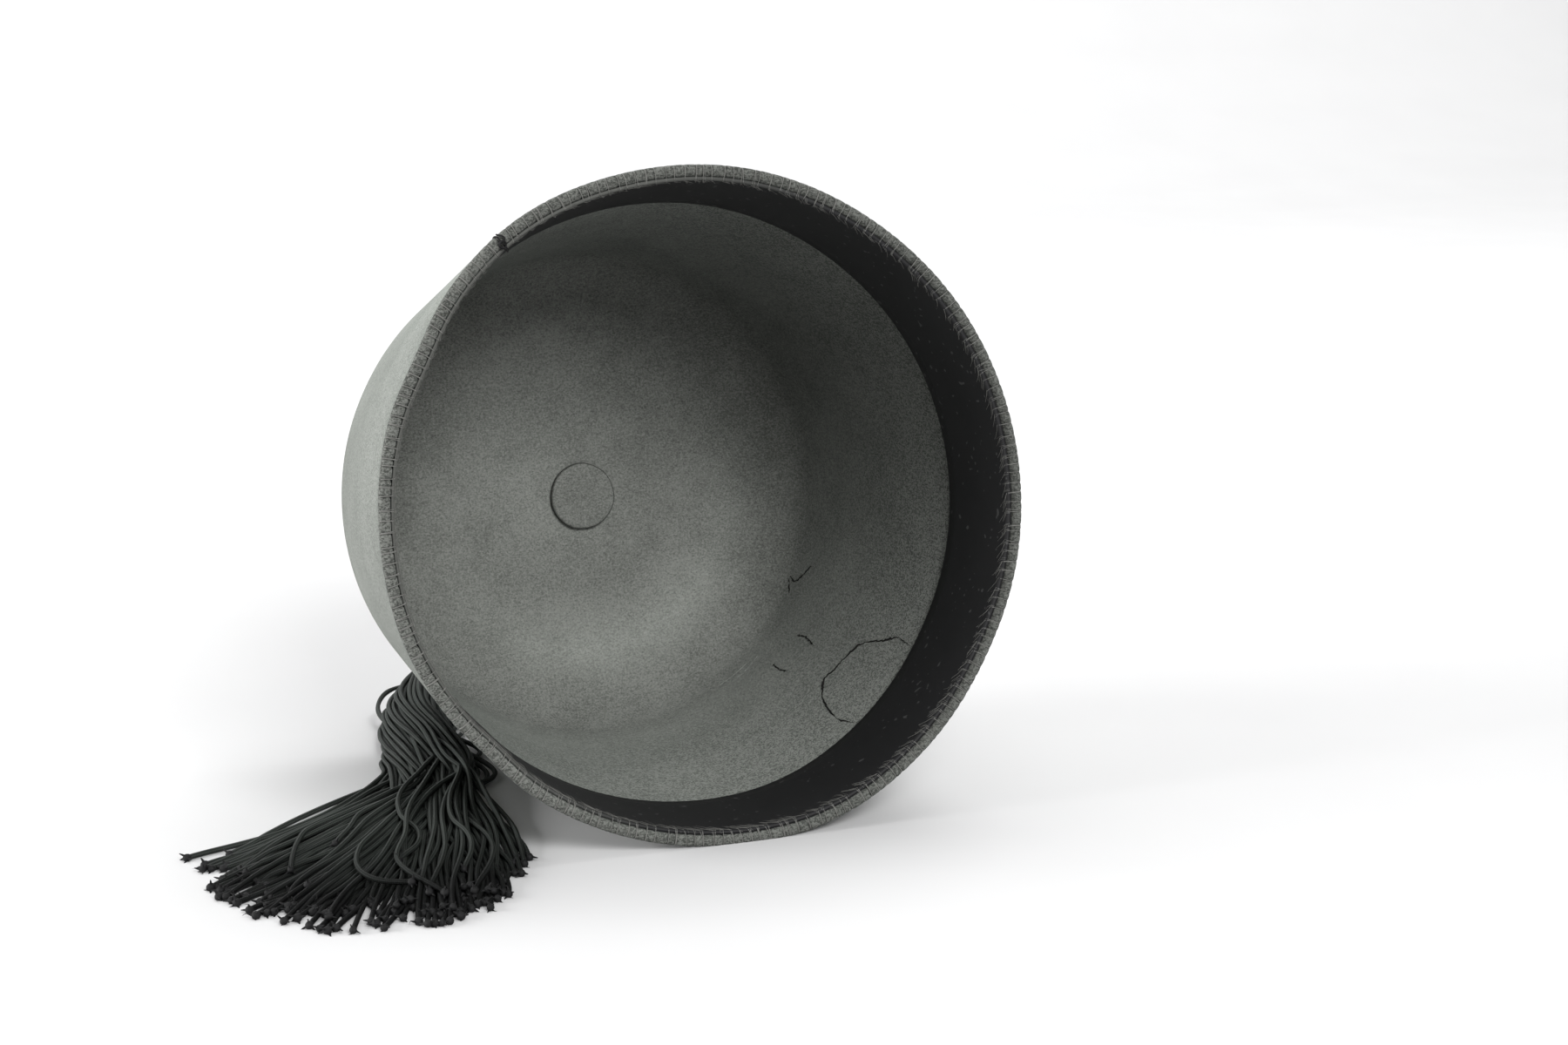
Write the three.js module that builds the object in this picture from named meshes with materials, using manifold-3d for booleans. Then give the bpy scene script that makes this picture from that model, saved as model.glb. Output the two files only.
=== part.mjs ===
// A felt fez lying on its side: a blocked felt body with a rounded shoulder, a sweatband sewn inside the
// rim, a felt disc inside the crown, and a tassel of braided strands on a short cord, fanned out beside it.
// Millimetres, +Z up. The floor is z = 0 and the open rim faces -Y.
import * as THREE from 'three';
import { mergeVertices } from 'three/addons/utils/BufferGeometryUtils.js';
import Module from 'manifold-3d';

// Felt body
const RIM_RADIUS = 97.5;
const CROWN_RADIUS = 77.5; // where the side would meet the top if the shoulder were sharp
const BODY_HEIGHT = 132;
const SIDE_WALL = 3.2;
const CROWN_WALL = 3.0;
const SHOULDER_RADIUS = 13;
const INNER_FILLET = 17;
const EDGE_ROUND = 0.6;
const FLOOR_PRESS = 0.4; // how far the underside is flattened by lying on it

// Sweatband
const BAND_WIDTH = 30.5;
const BAND_THICKNESS = 0.8;
const BAND_SETBACK = 1.0; // from the plane of the rim

// Disc inside the crown
const DISC_RADIUS = 10.7;
const DISC_THICKNESS = 1.6;
const DISC_EDGE = 0.35;
const DISC_RIGHT = 2.0; // how far off the middle it sits, seen from the opening
const DISC_DOWN = 1.2;

// Cord and tassel
const CORD_DIAMETER = 3.6;
const HEAD_RADIUS = 11;
const HEAD_LENGTH = 20;
const BINDING_DEPTH = 1.4;
const BUNDLE_WIDTH = 30; // at the waist, where the strands part
const BUNDLE_HEIGHT = 17;
const LOCK_WIDTH = 17;
const LOCK_HEIGHT = 12;
const WALL_CLEARANCE = 1.2; // between the strands and the felt beside them
const PIECE_GAP = 0.3;

// Faceting
const COLUMNS = 96;
const ARC_STEPS = 5;
const DISC_SIDES = 32;
const HEAD_SIDES = 16;
const CORD_SIDES = 8;
const CORD_STEP = 2.5; // in cord diameters
const LOCK_SIDES = 10;
const LOCK_STATIONS = 11;

// The side leans in by this angle, and lying on its side the hat is turned by it as well
const SLOPE = Math.atan2(RIM_RADIUS - CROWN_RADIUS, BODY_HEIGHT);

// The rim is a little oval, with its long way from lower right to upper left seen from the opening.
// Angles count from the right, upwards. Shares are of the radius.
const OVAL = { angle: 140, share: 0.0077 };

// Bulges and flats of the rim: at and reach in degrees, swell as a share of the radius
const RIM_BENDS = [
  { at: 123, reach: 16, swell: 0.012 },
  { at: 151, reach: 8, swell: -0.013 },
  { at: 55, reach: 18, swell: -0.005 },
  { at: -31, reach: 12, swell: -0.007 },
  { at: -72, reach: 16, swell: 0.012 },
  { at: -138, reach: 6, swell: -0.009 },
  { at: -162, reach: 12, swell: 0.007 },
];

// The cord's way from the middle of the crown to the tassel's head, in mm from the spot on the floor
// that lies under the middle of the rim
const CORD_ROUTE = [
  [0, 130.9, 76.1],
  [0, 135.5, 75.4],
  [0.1, 139.9, 73.1],
  [0.4, 143.4, 69.2],
  [0.9, 146, 63.8],
  [1.4, 148, 57],
  [1.8, 149.8, 49],
  [2, 151.6, 41],
  [1.8, 153.7, 33.2],
  [1, 156.2, 26],
  [-0.6, 159, 19.8],
  [-3, 161.4, 15.2],
  [-6.4, 162.9, 12.3],
  [-10, 163.4, 11.1],
  [-13.7, 163.1, 11],
];

// The head lies on the floor: its middle and its bearing as shares of the rim's radius and the body's height
const HEAD = { out: -0.246, along: 1.227, bearing: 186 };

// The bundle of strands from the head to the waist. out and along are shares of the rim's radius and the
// body's height, wide and high shares of the bundle's own size, base a share of its height.
const BUNDLE = [
  { out: -0.27, along: 1.226, wide: 0.5, high: 0.94, base: 0.16 },
  { out: -0.4, along: 1.19, wide: 0.66, high: 1.06, base: 0.1 },
  { out: -0.53, along: 1.08, wide: 0.84, high: 1.12, base: 0 },
  { out: -0.6, along: 0.94, wide: 0.92, high: 1.06, base: 0 },
  { out: -0.66, along: 0.77, wide: 1, high: 1, base: 0 },
  { out: -0.73, along: 0.6, wide: 1.1, high: 0.74, base: 0 },
];

// The locks that the strands part into, from the left fan round to the short ones under the wall: the side
// of the waist each leaves from, its middle and its tip, and its shares of a lock's width and height
const LOCKS = [
  { side: -0.9, midOut: -1.04, midAlong: 0.41, tipOut: -1.47, tipAlong: 0.22, wide: 0.8, high: 0.75 },
  { side: -0.7, midOut: -1.04, midAlong: 0.32, tipOut: -1.5, tipAlong: 0.1, wide: 0.95, high: 0.85 },
  { side: -0.5, midOut: -1.02, midAlong: 0.23, tipOut: -1.47, tipAlong: -0.04, wide: 1, high: 0.95 },
  { side: -0.3, midOut: -0.99, midAlong: 0.15, tipOut: -1.41, tipAlong: -0.16, wide: 1, high: 1 },
  { side: -0.1, midOut: -0.95, midAlong: 0.1, tipOut: -1.32, tipAlong: -0.27, wide: 0.95, high: 1.05 },
  { side: 0, midOut: -0.89, midAlong: 0.09, tipOut: -1.2, tipAlong: -0.34, wide: 0.95, high: 1.1 },
  { side: 0.1, midOut: -0.83, midAlong: 0.09, tipOut: -1.08, tipAlong: -0.32, wide: 0.95, high: 1.15 },
  { side: 0.3, midOut: -0.78, midAlong: 0.11, tipOut: -0.96, tipAlong: -0.35, wide: 0.95, high: 1.15 },
  { side: 0.5, midOut: -0.72, midAlong: 0.15, tipOut: -0.85, tipAlong: -0.3, wide: 0.9, high: 1.1 },
  { side: 0.7, midOut: -0.66, midAlong: 0.2, tipOut: -0.74, tipAlong: -0.22, wide: 0.85, high: 1 },
  { side: 0.8, midOut: -0.61, midAlong: 0.28, tipOut: -0.66, tipAlong: -0.09, wide: 0.75, high: 0.8 },
  { side: 0.9, midOut: -0.56, midAlong: 0.38, tipOut: -0.62, tipAlong: 0.04, wide: 0.65, high: 0.65 },
];

// How a lock's width and height run from its root in the bundle to its tip
const LOCK_TAPER = [
  { along: 0, wide: 0.5, high: 0.8 },
  { along: 0.35, wide: 0.9, high: 1.2 },
  { along: 0.65, wide: 1, high: 0.9 },
  { along: 0.9, wide: 1, high: 0.55 },
  { along: 1, wide: 0.75, high: 0.35 },
];

const wasm = await Module();
wasm.setup();

const radians = THREE.MathUtils.degToRad;

function coneRadius(depth) {
  return RIM_RADIUS - depth * Math.tan(SLOPE);
}

// How much further out than a true circle the wall is at an angle, as a share of the radius
function outOfRound(angle) {
  let share = OVAL.share * Math.cos(2 * (angle - radians(OVAL.angle)));
  for (const bend of RIM_BENDS) {
    const away = THREE.MathUtils.euclideanModulo(angle - radians(bend.at) + Math.PI, 2 * Math.PI) - Math.PI;
    share += bend.swell * Math.exp(-((away / radians(bend.reach)) ** 2));
  }
  return share;
}

// A point of the upright hat, rim down on z = 0: the bends fade out towards the crown, and the side that
// lies on the floor, at -90 degrees, is pressed flat
function hatPoint(angle, radius, depth) {
  const fade = Math.max(0, 1 - depth / BODY_HEIGHT);
  const bent = radius * (1 + outOfRound(angle) * fade);
  const lowest = FLOOR_PRESS - coneRadius(depth);
  const across = bent * Math.cos(angle);
  const up = Math.max(bent * Math.sin(angle), lowest);
  return [across, -up, depth];
}

// Welds a list of rings of equal length into one closed body, with a pole or a flat cap at an open end
function closedSkin(rings, looped) {
  const positions = rings.flat(2);
  const count = rings[0].length;
  const faces = [];
  const bands = looped ? rings.length : rings.length - 1;
  for (let band = 0; band < bands; band += 1) {
    const here = band * count;
    const there = ((band + 1) % rings.length) * count;
    for (let k = 0; k < count; k += 1) {
      const next = (k + 1) % count;
      faces.push(here + k, there + k, there + next);
      faces.push(here + k, there + next, here + next);
    }
  }
  if (!looped) {
    const middles = [rings[0], rings.at(-1)].map((ring) => middleOf(ring));
    const first = rings.length * count;
    positions.push(...middles[0], ...middles[1]);
    const last = (rings.length - 1) * count;
    for (let k = 0; k < count; k += 1) {
      const next = (k + 1) % count;
      faces.push(first, k, next);
      faces.push(first + 1, last + next, last + k);
    }
  }
  const geometry = new THREE.BufferGeometry();
  geometry.setAttribute('position', new THREE.Float32BufferAttribute(positions, 3));
  geometry.setIndex(faces);
  return facingOut(geometry);
}

function middleOf(ring) {
  const middle = [0, 0, 0];
  for (const point of ring) {
    point.forEach((value, axis) => {
      middle[axis] += value / ring.length;
    });
  }
  return middle;
}

function facingOut(geometry) {
  const place = geometry.getAttribute('position');
  const index = geometry.getIndex();
  const corners = [new THREE.Vector3(), new THREE.Vector3(), new THREE.Vector3()];
  let volume = 0;
  for (let k = 0; k < index.count; k += 3) {
    corners.forEach((corner, side) => corner.fromBufferAttribute(place, index.getX(k + side)));
    volume += corners[0].dot(corners[1].cross(corners[2]));
  }
  if (volume < 0) {
    const turned = Array.from(index.array);
    turned.reverse();
    geometry.setIndex(turned);
  }
  geometry.computeVertexNormals();
  return geometry;
}

function hatRing([radius, depth]) {
  return Array.from({ length: COLUMNS }, (_, k) => hatPoint((k / COLUMNS) * 2 * Math.PI, radius, depth));
}

// The points of a fillet between the sloping side and the flat top, from the side round to the top
function filletPoints(sideRadiusAtRim, topDepth, radius) {
  const centreDepth = topDepth - radius;
  const centreRadius = sideRadiusAtRim - centreDepth * Math.tan(SLOPE) - radius / Math.cos(SLOPE);
  return Array.from({ length: ARC_STEPS + 1 }, (_, k) => {
    const turn = THREE.MathUtils.lerp(SLOPE, Math.PI / 2, k / ARC_STEPS);
    return [centreRadius + radius * Math.cos(turn), centreDepth + radius * Math.sin(turn)];
  });
}

function innerRadius(depth) {
  return coneRadius(depth) - SIDE_WALL / Math.cos(SLOPE);
}

function feltBody() {
  const middle = BODY_HEIGHT / 2;
  const outside = [
    [RIM_RADIUS - EDGE_ROUND, 0],
    [coneRadius(EDGE_ROUND), EDGE_ROUND],
    [coneRadius(middle), middle],
    ...filletPoints(RIM_RADIUS, BODY_HEIGHT, SHOULDER_RADIUS),
  ];
  const inside = [
    [innerRadius(0), 0],
    [innerRadius(middle), middle],
    ...filletPoints(innerRadius(0), BODY_HEIGHT - CROWN_WALL, INNER_FILLET),
  ];
  return closedSkin([...outside.reverse(), ...inside].map(hatRing), false);
}

function sweatband() {
  const far = BAND_SETBACK + BAND_WIDTH;
  const middle = (BAND_SETBACK + far) / 2;
  const outer = (depth) => innerRadius(depth) - PIECE_GAP;
  const inner = (depth) => outer(depth) - BAND_THICKNESS;
  const profile = [
    [outer(BAND_SETBACK), BAND_SETBACK],
    [outer(middle), middle],
    [outer(far), far],
    [inner(far), far],
    [inner(middle), middle],
    [inner(BAND_SETBACK), BAND_SETBACK],
  ];
  return closedSkin(profile.map(hatRing), true);
}

function crownDisc() {
  const rings = [
    [DISC_RADIUS, 0],
    [DISC_RADIUS, DISC_THICKNESS - DISC_EDGE],
    [DISC_RADIUS - DISC_EDGE, DISC_THICKNESS],
  ].map(([radius, height]) =>
    Array.from({ length: DISC_SIDES }, (_, k) => {
      const angle = (k / DISC_SIDES) * 2 * Math.PI;
      return [radius * Math.cos(angle), radius * Math.sin(angle), -height];
    }),
  );
  const geometry = closedSkin(rings, false);
  geometry.translate(DISC_RIGHT, DISC_DOWN, BODY_HEIGHT - CROWN_WALL - PIECE_GAP);
  return geometry;
}

function tasselCord() {
  const points = CORD_ROUTE.map((point) => new THREE.Vector3(...point));
  const curve = new THREE.CatmullRomCurve3(points);
  const section = new THREE.Shape();
  for (let k = 0; k < CORD_SIDES; k += 1) {
    const angle = ((k + 0.5) / CORD_SIDES) * 2 * Math.PI;
    const corner = [(CORD_DIAMETER / 2) * Math.cos(angle), (CORD_DIAMETER / 2) * Math.sin(angle)];
    if (k === 0) {
      section.moveTo(...corner);
    } else {
      section.lineTo(...corner);
    }
  }
  section.closePath();
  const steps = Math.ceil(curve.getLength() / (CORD_STEP * CORD_DIAMETER));
  return new THREE.ExtrudeGeometry(section, { steps, extrudePath: curve, curveSegments: 1 });
}

// The height of the hat's axis over the floor at the rim
const RIM_CENTRE_HEIGHT = (RIM_RADIUS - FLOOR_PRESS) * Math.cos(SLOPE);
const WIDEST_SHARE = 1 + OVAL.share + Math.max(...RIM_BENDS.map((bend) => bend.swell));

// How far the felt reaches to the left of the hat's middle line at a place and height over the floor
function wallReach(along, height) {
  const depth = along * Math.cos(SLOPE) - (height - RIM_CENTRE_HEIGHT) * Math.sin(SLOPE);
  const up = along * Math.sin(SLOPE) + (height - RIM_CENTRE_HEIGHT) * Math.cos(SLOPE);
  if (depth < 0 || depth > BODY_HEIGHT) {
    return 0;
  }
  const radius = coneRadius(depth) * WIDEST_SHARE;
  return Math.sqrt(Math.max(0, radius ** 2 - up ** 2));
}

// One flat-bottomed section across a lock or the bundle, moved left until it is clear of the felt
function strandSection(centre, heading, width, height, base) {
  const steepest = Math.cos(Math.PI / LOCK_SIDES);
  const section = Array.from({ length: LOCK_SIDES }, (_, k) => {
    const angle = (k / LOCK_SIDES) * 2 * Math.PI;
    const aside = (width / 2) * Math.cos(angle);
    const lift = base + (height / 2) * (1 + Math.sin(angle) / steepest);
    return [centre.x - aside * heading.y, centre.y + aside * heading.x, lift];
  });
  const beside = section.filter(([, y, z]) => wallReach(y, z) > 0);
  const overlaps = beside.map(([x, y, z]) => x + wallReach(y, z) + WALL_CLEARANCE);
  const shift = Math.max(0, ...overlaps);
  return section.map(([x, y, z]) => [x - shift, y, z]);
}

function floorPoint(out, along) {
  return new THREE.Vector3(out * RIM_RADIUS, along * BODY_HEIGHT, 0);
}

function flatHeading(curve, share) {
  const heading = curve.getTangent(share);
  return heading.setZ(0).normalize();
}

function tasselHead() {
  const half = HEAD_LENGTH / 2;
  const neck = HEAD_RADIUS - BINDING_DEPTH;
  const profile = [
    [0, -half],
    [HEAD_RADIUS * 0.62, -half],
    [HEAD_RADIUS * 0.93, -half * 0.7],
    [HEAD_RADIUS, -half * 0.3],
    [HEAD_RADIUS * 0.97, half * 0.1],
    [neck, half * 0.2],
    [neck, half * 0.7],
    [HEAD_RADIUS * 0.97, half * 0.85],
    [HEAD_RADIUS * 0.9, half],
    [0, half],
  ].map(([radius, along]) => new THREE.Vector2(radius, along));
  const geometry = new THREE.LatheGeometry(profile, HEAD_SIDES);
  geometry.rotateZ(-Math.PI / 2);
  geometry.rotateZ(radians(HEAD.bearing));
  const middle = floorPoint(HEAD.out, HEAD.along);
  geometry.translate(middle.x, middle.y, HEAD_RADIUS);
  return geometry;
}

function bundleCurve() {
  return new THREE.CatmullRomCurve3(BUNDLE.map((row) => floorPoint(row.out, row.along)));
}

function strandBundle() {
  const curve = bundleCurve();
  const rings = BUNDLE.map((row, k) => {
    const share = k / (BUNDLE.length - 1);
    const high = BUNDLE_HEIGHT * row.high;
    return strandSection(
      curve.getPoint(share),
      flatHeading(curve, share),
      BUNDLE_WIDTH * row.wide,
      high,
      high * row.base,
    );
  });
  return closedSkin(rings, false);
}

// A taper's value at a share of the lock's length, straight between the rows of its table
function taperAt(share, column) {
  const after = LOCK_TAPER.findIndex((row) => row.along >= share);
  const upper = LOCK_TAPER[Math.max(after, 1)];
  const lower = LOCK_TAPER[Math.max(after, 1) - 1];
  return THREE.MathUtils.mapLinear(share, lower.along, upper.along, lower[column], upper[column]);
}

function strandLock(row) {
  const corner = floorPoint(BUNDLE[3].out, BUNDLE[3].along);
  const waist = floorPoint(BUNDLE[4].out, BUNDLE[4].along);
  const aside = (row.side * BUNDLE_WIDTH) / 4;
  const curve = new THREE.CatmullRomCurve3([
    corner.add(new THREE.Vector3(aside / 2, 0, 0)),
    waist.add(new THREE.Vector3(aside, 0, 0)),
    floorPoint(row.midOut, row.midAlong),
    floorPoint(row.tipOut, row.tipAlong),
  ]);
  const rings = Array.from({ length: LOCK_STATIONS }, (_, k) => {
    const share = k / (LOCK_STATIONS - 1);
    return strandSection(
      curve.getPointAt(share),
      flatHeading(curve, share),
      LOCK_WIDTH * row.wide * taperAt(share, 'wide'),
      LOCK_HEIGHT * row.high * taperAt(share, 'high'),
      0,
    );
  });
  return closedSkin(rings, false);
}

function solidOf(geometry) {
  const bare = geometry.clone();
  bare.deleteAttribute('normal');
  bare.deleteAttribute('uv');
  const merged = mergeVertices(bare, 1e-4);
  const vertProperties = new Float32Array(merged.getAttribute('position').array);
  const triVerts = new Uint32Array(merged.getIndex().array);
  return new wasm.Manifold(new wasm.Mesh({ numProp: 3, vertProperties, triVerts }));
}

function geometryOf(solid) {
  const mesh = solid.getMesh();
  const geometry = new THREE.BufferGeometry();
  geometry.setAttribute('position', new THREE.BufferAttribute(mesh.vertProperties, 3));
  geometry.setIndex(new THREE.BufferAttribute(mesh.triVerts, 1));
  geometry.computeVertexNormals();
  return geometry;
}

function tassel() {
  const pieces = [tasselHead(), strandBundle(), ...LOCKS.map(strandLock)];
  const whole = pieces.map(solidOf).reduce((sum, piece) => sum.add(piece));
  return geometryOf(whole);
}

const MATERIALS = {
  felt: new THREE.MeshStandardMaterial({ color: 0x4a4d4a, roughness: 0.95, metalness: 0 }),
  band: new THREE.MeshStandardMaterial({ color: 0x1c1c1d, roughness: 0.6, metalness: 0 }),
  braid: new THREE.MeshStandardMaterial({ color: 0x17191a, roughness: 0.6, metalness: 0 }),
};

function piece(name, geometry, material) {
  const mesh = new THREE.Mesh(geometry, material);
  mesh.name = name;
  return mesh;
}

const body = piece('felt_body', feltBody(), MATERIALS.felt);

const hat = new THREE.Group();
hat.add(body);
hat.add(piece('sweatband', sweatband(), MATERIALS.band));
hat.add(piece('crown_disc', crownDisc(), MATERIALS.felt));
hat.rotation.x = -(Math.PI / 2 + SLOPE);
hat.position.z = RIM_CENTRE_HEIGHT;

const trimming = new THREE.Group();
trimming.add(piece('tassel_cord', tasselCord(), MATERIALS.braid));
trimming.add(piece('tassel', tassel(), MATERIALS.braid));

// The origin is the middle of the felt body's own footprint, on the floor
const fez = new THREE.Group();
fez.add(hat, trimming);
fez.updateMatrixWorld(true);
const extent = new THREE.Box3().setFromObject(body, true);
const middle = extent.getCenter(new THREE.Vector3());
fez.position.set(-middle.x, -middle.y, -extent.min.z);

export default fez;
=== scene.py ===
# %% [markdown]
# # A felt fez lying on its side
#
# The hat is a stiff blocked felt body with a sweatband sewn inside its rim, a felt disc in the middle of
# the crown and a tassel of thin braided strands. It lies on its side with the opening towards us, and the
# tassel is fanned out beside it. The measured model gives the frame: every piece below goes where that
# model says, in metres, with the floor at z = 0.

# %% Load the frame
import math

import bpy
import numpy as np
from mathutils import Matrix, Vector


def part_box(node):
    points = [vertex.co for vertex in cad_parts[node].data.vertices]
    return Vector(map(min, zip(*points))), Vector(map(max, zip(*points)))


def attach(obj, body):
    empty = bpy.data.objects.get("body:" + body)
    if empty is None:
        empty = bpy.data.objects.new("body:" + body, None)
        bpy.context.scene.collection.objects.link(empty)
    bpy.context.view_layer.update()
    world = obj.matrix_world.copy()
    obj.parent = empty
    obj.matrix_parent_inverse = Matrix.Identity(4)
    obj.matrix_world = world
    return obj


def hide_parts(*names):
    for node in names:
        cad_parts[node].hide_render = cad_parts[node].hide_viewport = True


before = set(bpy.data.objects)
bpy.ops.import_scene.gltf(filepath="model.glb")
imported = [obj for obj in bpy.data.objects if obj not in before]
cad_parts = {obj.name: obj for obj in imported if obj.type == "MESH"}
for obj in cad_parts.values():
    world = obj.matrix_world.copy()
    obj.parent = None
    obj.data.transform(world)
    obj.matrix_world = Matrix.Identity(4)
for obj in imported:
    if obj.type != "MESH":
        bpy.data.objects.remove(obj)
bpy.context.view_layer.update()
MM = 0.001

# %% [markdown]
# ## The hat's own coordinates
#
# A hat is easiest to think about upright: an angle round it, a radius, and a depth from the rim towards
# the crown. One function turns these into points of the hat as it lies, so the felt, the band and every
# stitch share the same slightly bent shape. The angle runs from the right, upwards, seen from the
# opening.

# %% Sizes and the bent rim
RIM_RADIUS = 97.5 * MM
CROWN_RADIUS = 77.5 * MM
BODY_HEIGHT = 132 * MM
SIDE_WALL = 3.2 * MM
CROWN_WALL = 3.0 * MM
SHOULDER_RADIUS = 13 * MM
INNER_FILLET = 17 * MM
FLOOR_PRESS = 0.4 * MM
SLOPE = math.atan2(RIM_RADIUS - CROWN_RADIUS, BODY_HEIGHT)
RIM_CENTRE_HEIGHT = (RIM_RADIUS - FLOOR_PRESS) * math.cos(SLOPE)
OVAL_ANGLE = 140
OVAL_SHARE = 0.0077

# at and reach in degrees, swell as a share of the radius
RIM_BENDS = [
    {"at": 123, "reach": 16, "swell": 0.012},
    {"at": 151, "reach": 8, "swell": -0.013},
    {"at": 55, "reach": 18, "swell": -0.005},
    {"at": -31, "reach": 12, "swell": -0.007},
    {"at": -72, "reach": 16, "swell": 0.012},
    {"at": -138, "reach": 6, "swell": -0.009},
    {"at": -162, "reach": 12, "swell": 0.007},
]


def cone_radius(depth):
    return RIM_RADIUS - depth * math.tan(SLOPE)


def inner_radius(depth):
    return cone_radius(depth) - SIDE_WALL / math.cos(SLOPE)


def out_of_round(angle):
    share = OVAL_SHARE * np.cos(2 * (angle - math.radians(OVAL_ANGLE)))
    for bend in RIM_BENDS:
        away = np.mod(angle - math.radians(bend["at"]) + math.pi, 2 * math.pi) - math.pi
        share = share + bend["swell"] * np.exp(-((away / math.radians(bend["reach"])) ** 2))
    return share


# %% From hat coordinates to the floor
def lying_points(angle, radius, depth):
    angle, radius, depth = np.broadcast_arrays(angle, radius, depth)
    fade = np.clip(1 - depth / BODY_HEIGHT, 0, 1)
    bent = radius * (1 + out_of_round(angle) * fade)
    across = bent * np.cos(angle)
    up = np.maximum(bent * np.sin(angle), FLOOR_PRESS - cone_radius(depth))
    along = depth * math.cos(SLOPE) + up * math.sin(SLOPE)
    height = RIM_CENTRE_HEIGHT + up * math.cos(SLOPE) - depth * math.sin(SLOPE)
    return np.stack([across, along, height], axis=-1)


ring = np.linspace(0, 2 * math.pi, 96, endpoint=False)
rim_low = lying_points(ring, cone_radius(0.6 * MM), 0.6 * MM).min(axis=0)
rim_front = lying_points(-math.pi / 2, RIM_RADIUS, 0)[1]
felt_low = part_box("felt_body")[0]
RIM_MIDDLE = np.array([felt_low.x - rim_low[0], felt_low.y - rim_front, 0])
print("the middle of the rim stands over", np.round(RIM_MIDDLE / MM, 2), "mm")


def hat_points(angle, radius, depth):
    return lying_points(angle, radius, depth) + RIM_MIDDLE


# %% [markdown]
# ## The camera
#
# The camera comes first, because everything else is judged through it. The photograph was taken from
# about 0.85 m, 21 degrees left of the hat's axis and 12 degrees above it, with a lens of about 68 mm.

# %% Camera
CAMERA_FROM_RIM = np.array([-295.77, -778.52, 266.1]) * MM
CAMERA_YAW = 0.3868
CAMERA_PITCH = 0.2067
FOCAL_LENGTH = 68.457
SENSOR_WIDTH = 36


def make_camera():
    lens = bpy.data.cameras.new("view")
    lens.lens = FOCAL_LENGTH
    lens.sensor_width = SENSOR_WIDTH
    lens.clip_start = 0.01
    camera = bpy.data.objects.new("view", lens)
    camera.location = CAMERA_FROM_RIM + RIM_MIDDLE
    camera.rotation_euler = (math.pi / 2 - CAMERA_PITCH, 0, -CAMERA_YAW)
    bpy.context.scene.collection.objects.link(camera)
    bpy.context.scene.camera = camera


make_camera()

# %% [markdown]
# ## Small helpers for modelling
#
# An operator acts on everything that is selected, so each step starts by clearing the selection. A
# finished piece's object sits at the origin with its place in its mesh.

# %% Selection and finishing
def nothing_selected():
    bpy.ops.object.select_all(action="DESELECT")


def only(piece):
    nothing_selected()
    piece.select_set(True)
    bpy.context.view_layer.objects.active = piece


def coordinates(piece):
    flat = np.empty(len(piece.data.vertices) * 3)
    piece.data.vertices.foreach_get("co", flat)
    return flat.reshape(-1, 3)


def mark_vertices(piece, name, amounts):
    layer = piece.data.attributes.new(name, "FLOAT", "POINT")
    layer.data.foreach_set("value", np.asarray(amounts, float))


def move_vertices(piece, points):
    piece.data.vertices.foreach_set("co", np.asarray(points, float).ravel())
    piece.data.update()


def face_outwards(piece):
    mesh = piece.data
    mesh.calc_loop_triangles()
    corners = np.empty(len(mesh.loop_triangles) * 3, int)
    mesh.loop_triangles.foreach_get("vertices", corners)
    a, b, c = coordinates(piece)[corners.reshape(-1, 3)].transpose(1, 0, 2)
    volume = np.einsum("ij,ij->i", a, np.cross(b, c)).sum()
    if volume < 0:
        mesh.flip_normals()


def finish_piece(piece, finish):
    only(piece)
    bpy.ops.object.transform_apply(location=True, rotation=True, scale=True)
    bpy.ops.object.shade_smooth()
    piece.data.materials.clear()
    piece.data.materials.append(finish)
    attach(piece, "root")
    triangles = sum(len(face.vertices) - 2 for face in piece.data.polygons)
    print(piece.name, "has", triangles, "triangles")


# %% [markdown]
# ## Turning a half section into a shell
#
# Felt is blocked over a round form, so the body is a turned shape. The half section is drawn by extruding
# a single point along it, as with a pen, and Spin carries it once round the axis.

# %% Draw and spin
WELD_DISTANCE = 0.01 * MM


def spun(name, profile, steps, closed):
    nothing_selected()
    first = profile[0]
    bpy.ops.mesh.primitive_plane_add(size=1 * MM, location=(0, 0, 0))
    piece = bpy.context.active_object
    piece.name = name
    bpy.ops.object.mode_set(mode="EDIT")
    bpy.ops.mesh.select_mode(type="VERT")
    bpy.ops.mesh.select_all(action="SELECT")
    bpy.ops.mesh.merge(type="CENTER")
    bpy.ops.transform.translate(value=(first[0], 0, first[1]))
    for here, there in zip(profile, profile[1:]):
        step = (there[0] - here[0], 0, there[1] - here[1])
        bpy.ops.mesh.extrude_region_move(TRANSFORM_OT_translate={"value": step})
    bpy.ops.mesh.select_all(action="SELECT")
    if closed:
        bpy.ops.mesh.remove_doubles(threshold=WELD_DISTANCE)
    bpy.ops.mesh.spin(steps=steps, angle=2 * math.pi, center=(0, 0, 0), axis=(0, 0, 1))
    bpy.ops.mesh.select_all(action="SELECT")
    bpy.ops.mesh.remove_doubles(threshold=WELD_DISTANCE)
    bpy.ops.mesh.normals_make_consistent(inside=False)
    bpy.ops.object.mode_set(mode="OBJECT")
    return piece


def fillet(radius_at_rim, top_depth, radius, steps):
    centre_depth = top_depth - radius
    centre_radius = radius_at_rim - centre_depth * math.tan(SLOPE) - radius / math.cos(SLOPE)
    turns = np.linspace(SLOPE, math.pi / 2, steps + 1)
    return [(centre_radius + radius * math.cos(t), centre_depth + radius * math.sin(t)) for t in turns]


# %% [markdown]
# ## Shader maths as Python
#
# A socket of the node tree is wrapped in a small class, so that a pattern can be written as an
# expression. Every operator adds its Math node, also when the number comes first. One method of the
# finish makes any other node.

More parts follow.
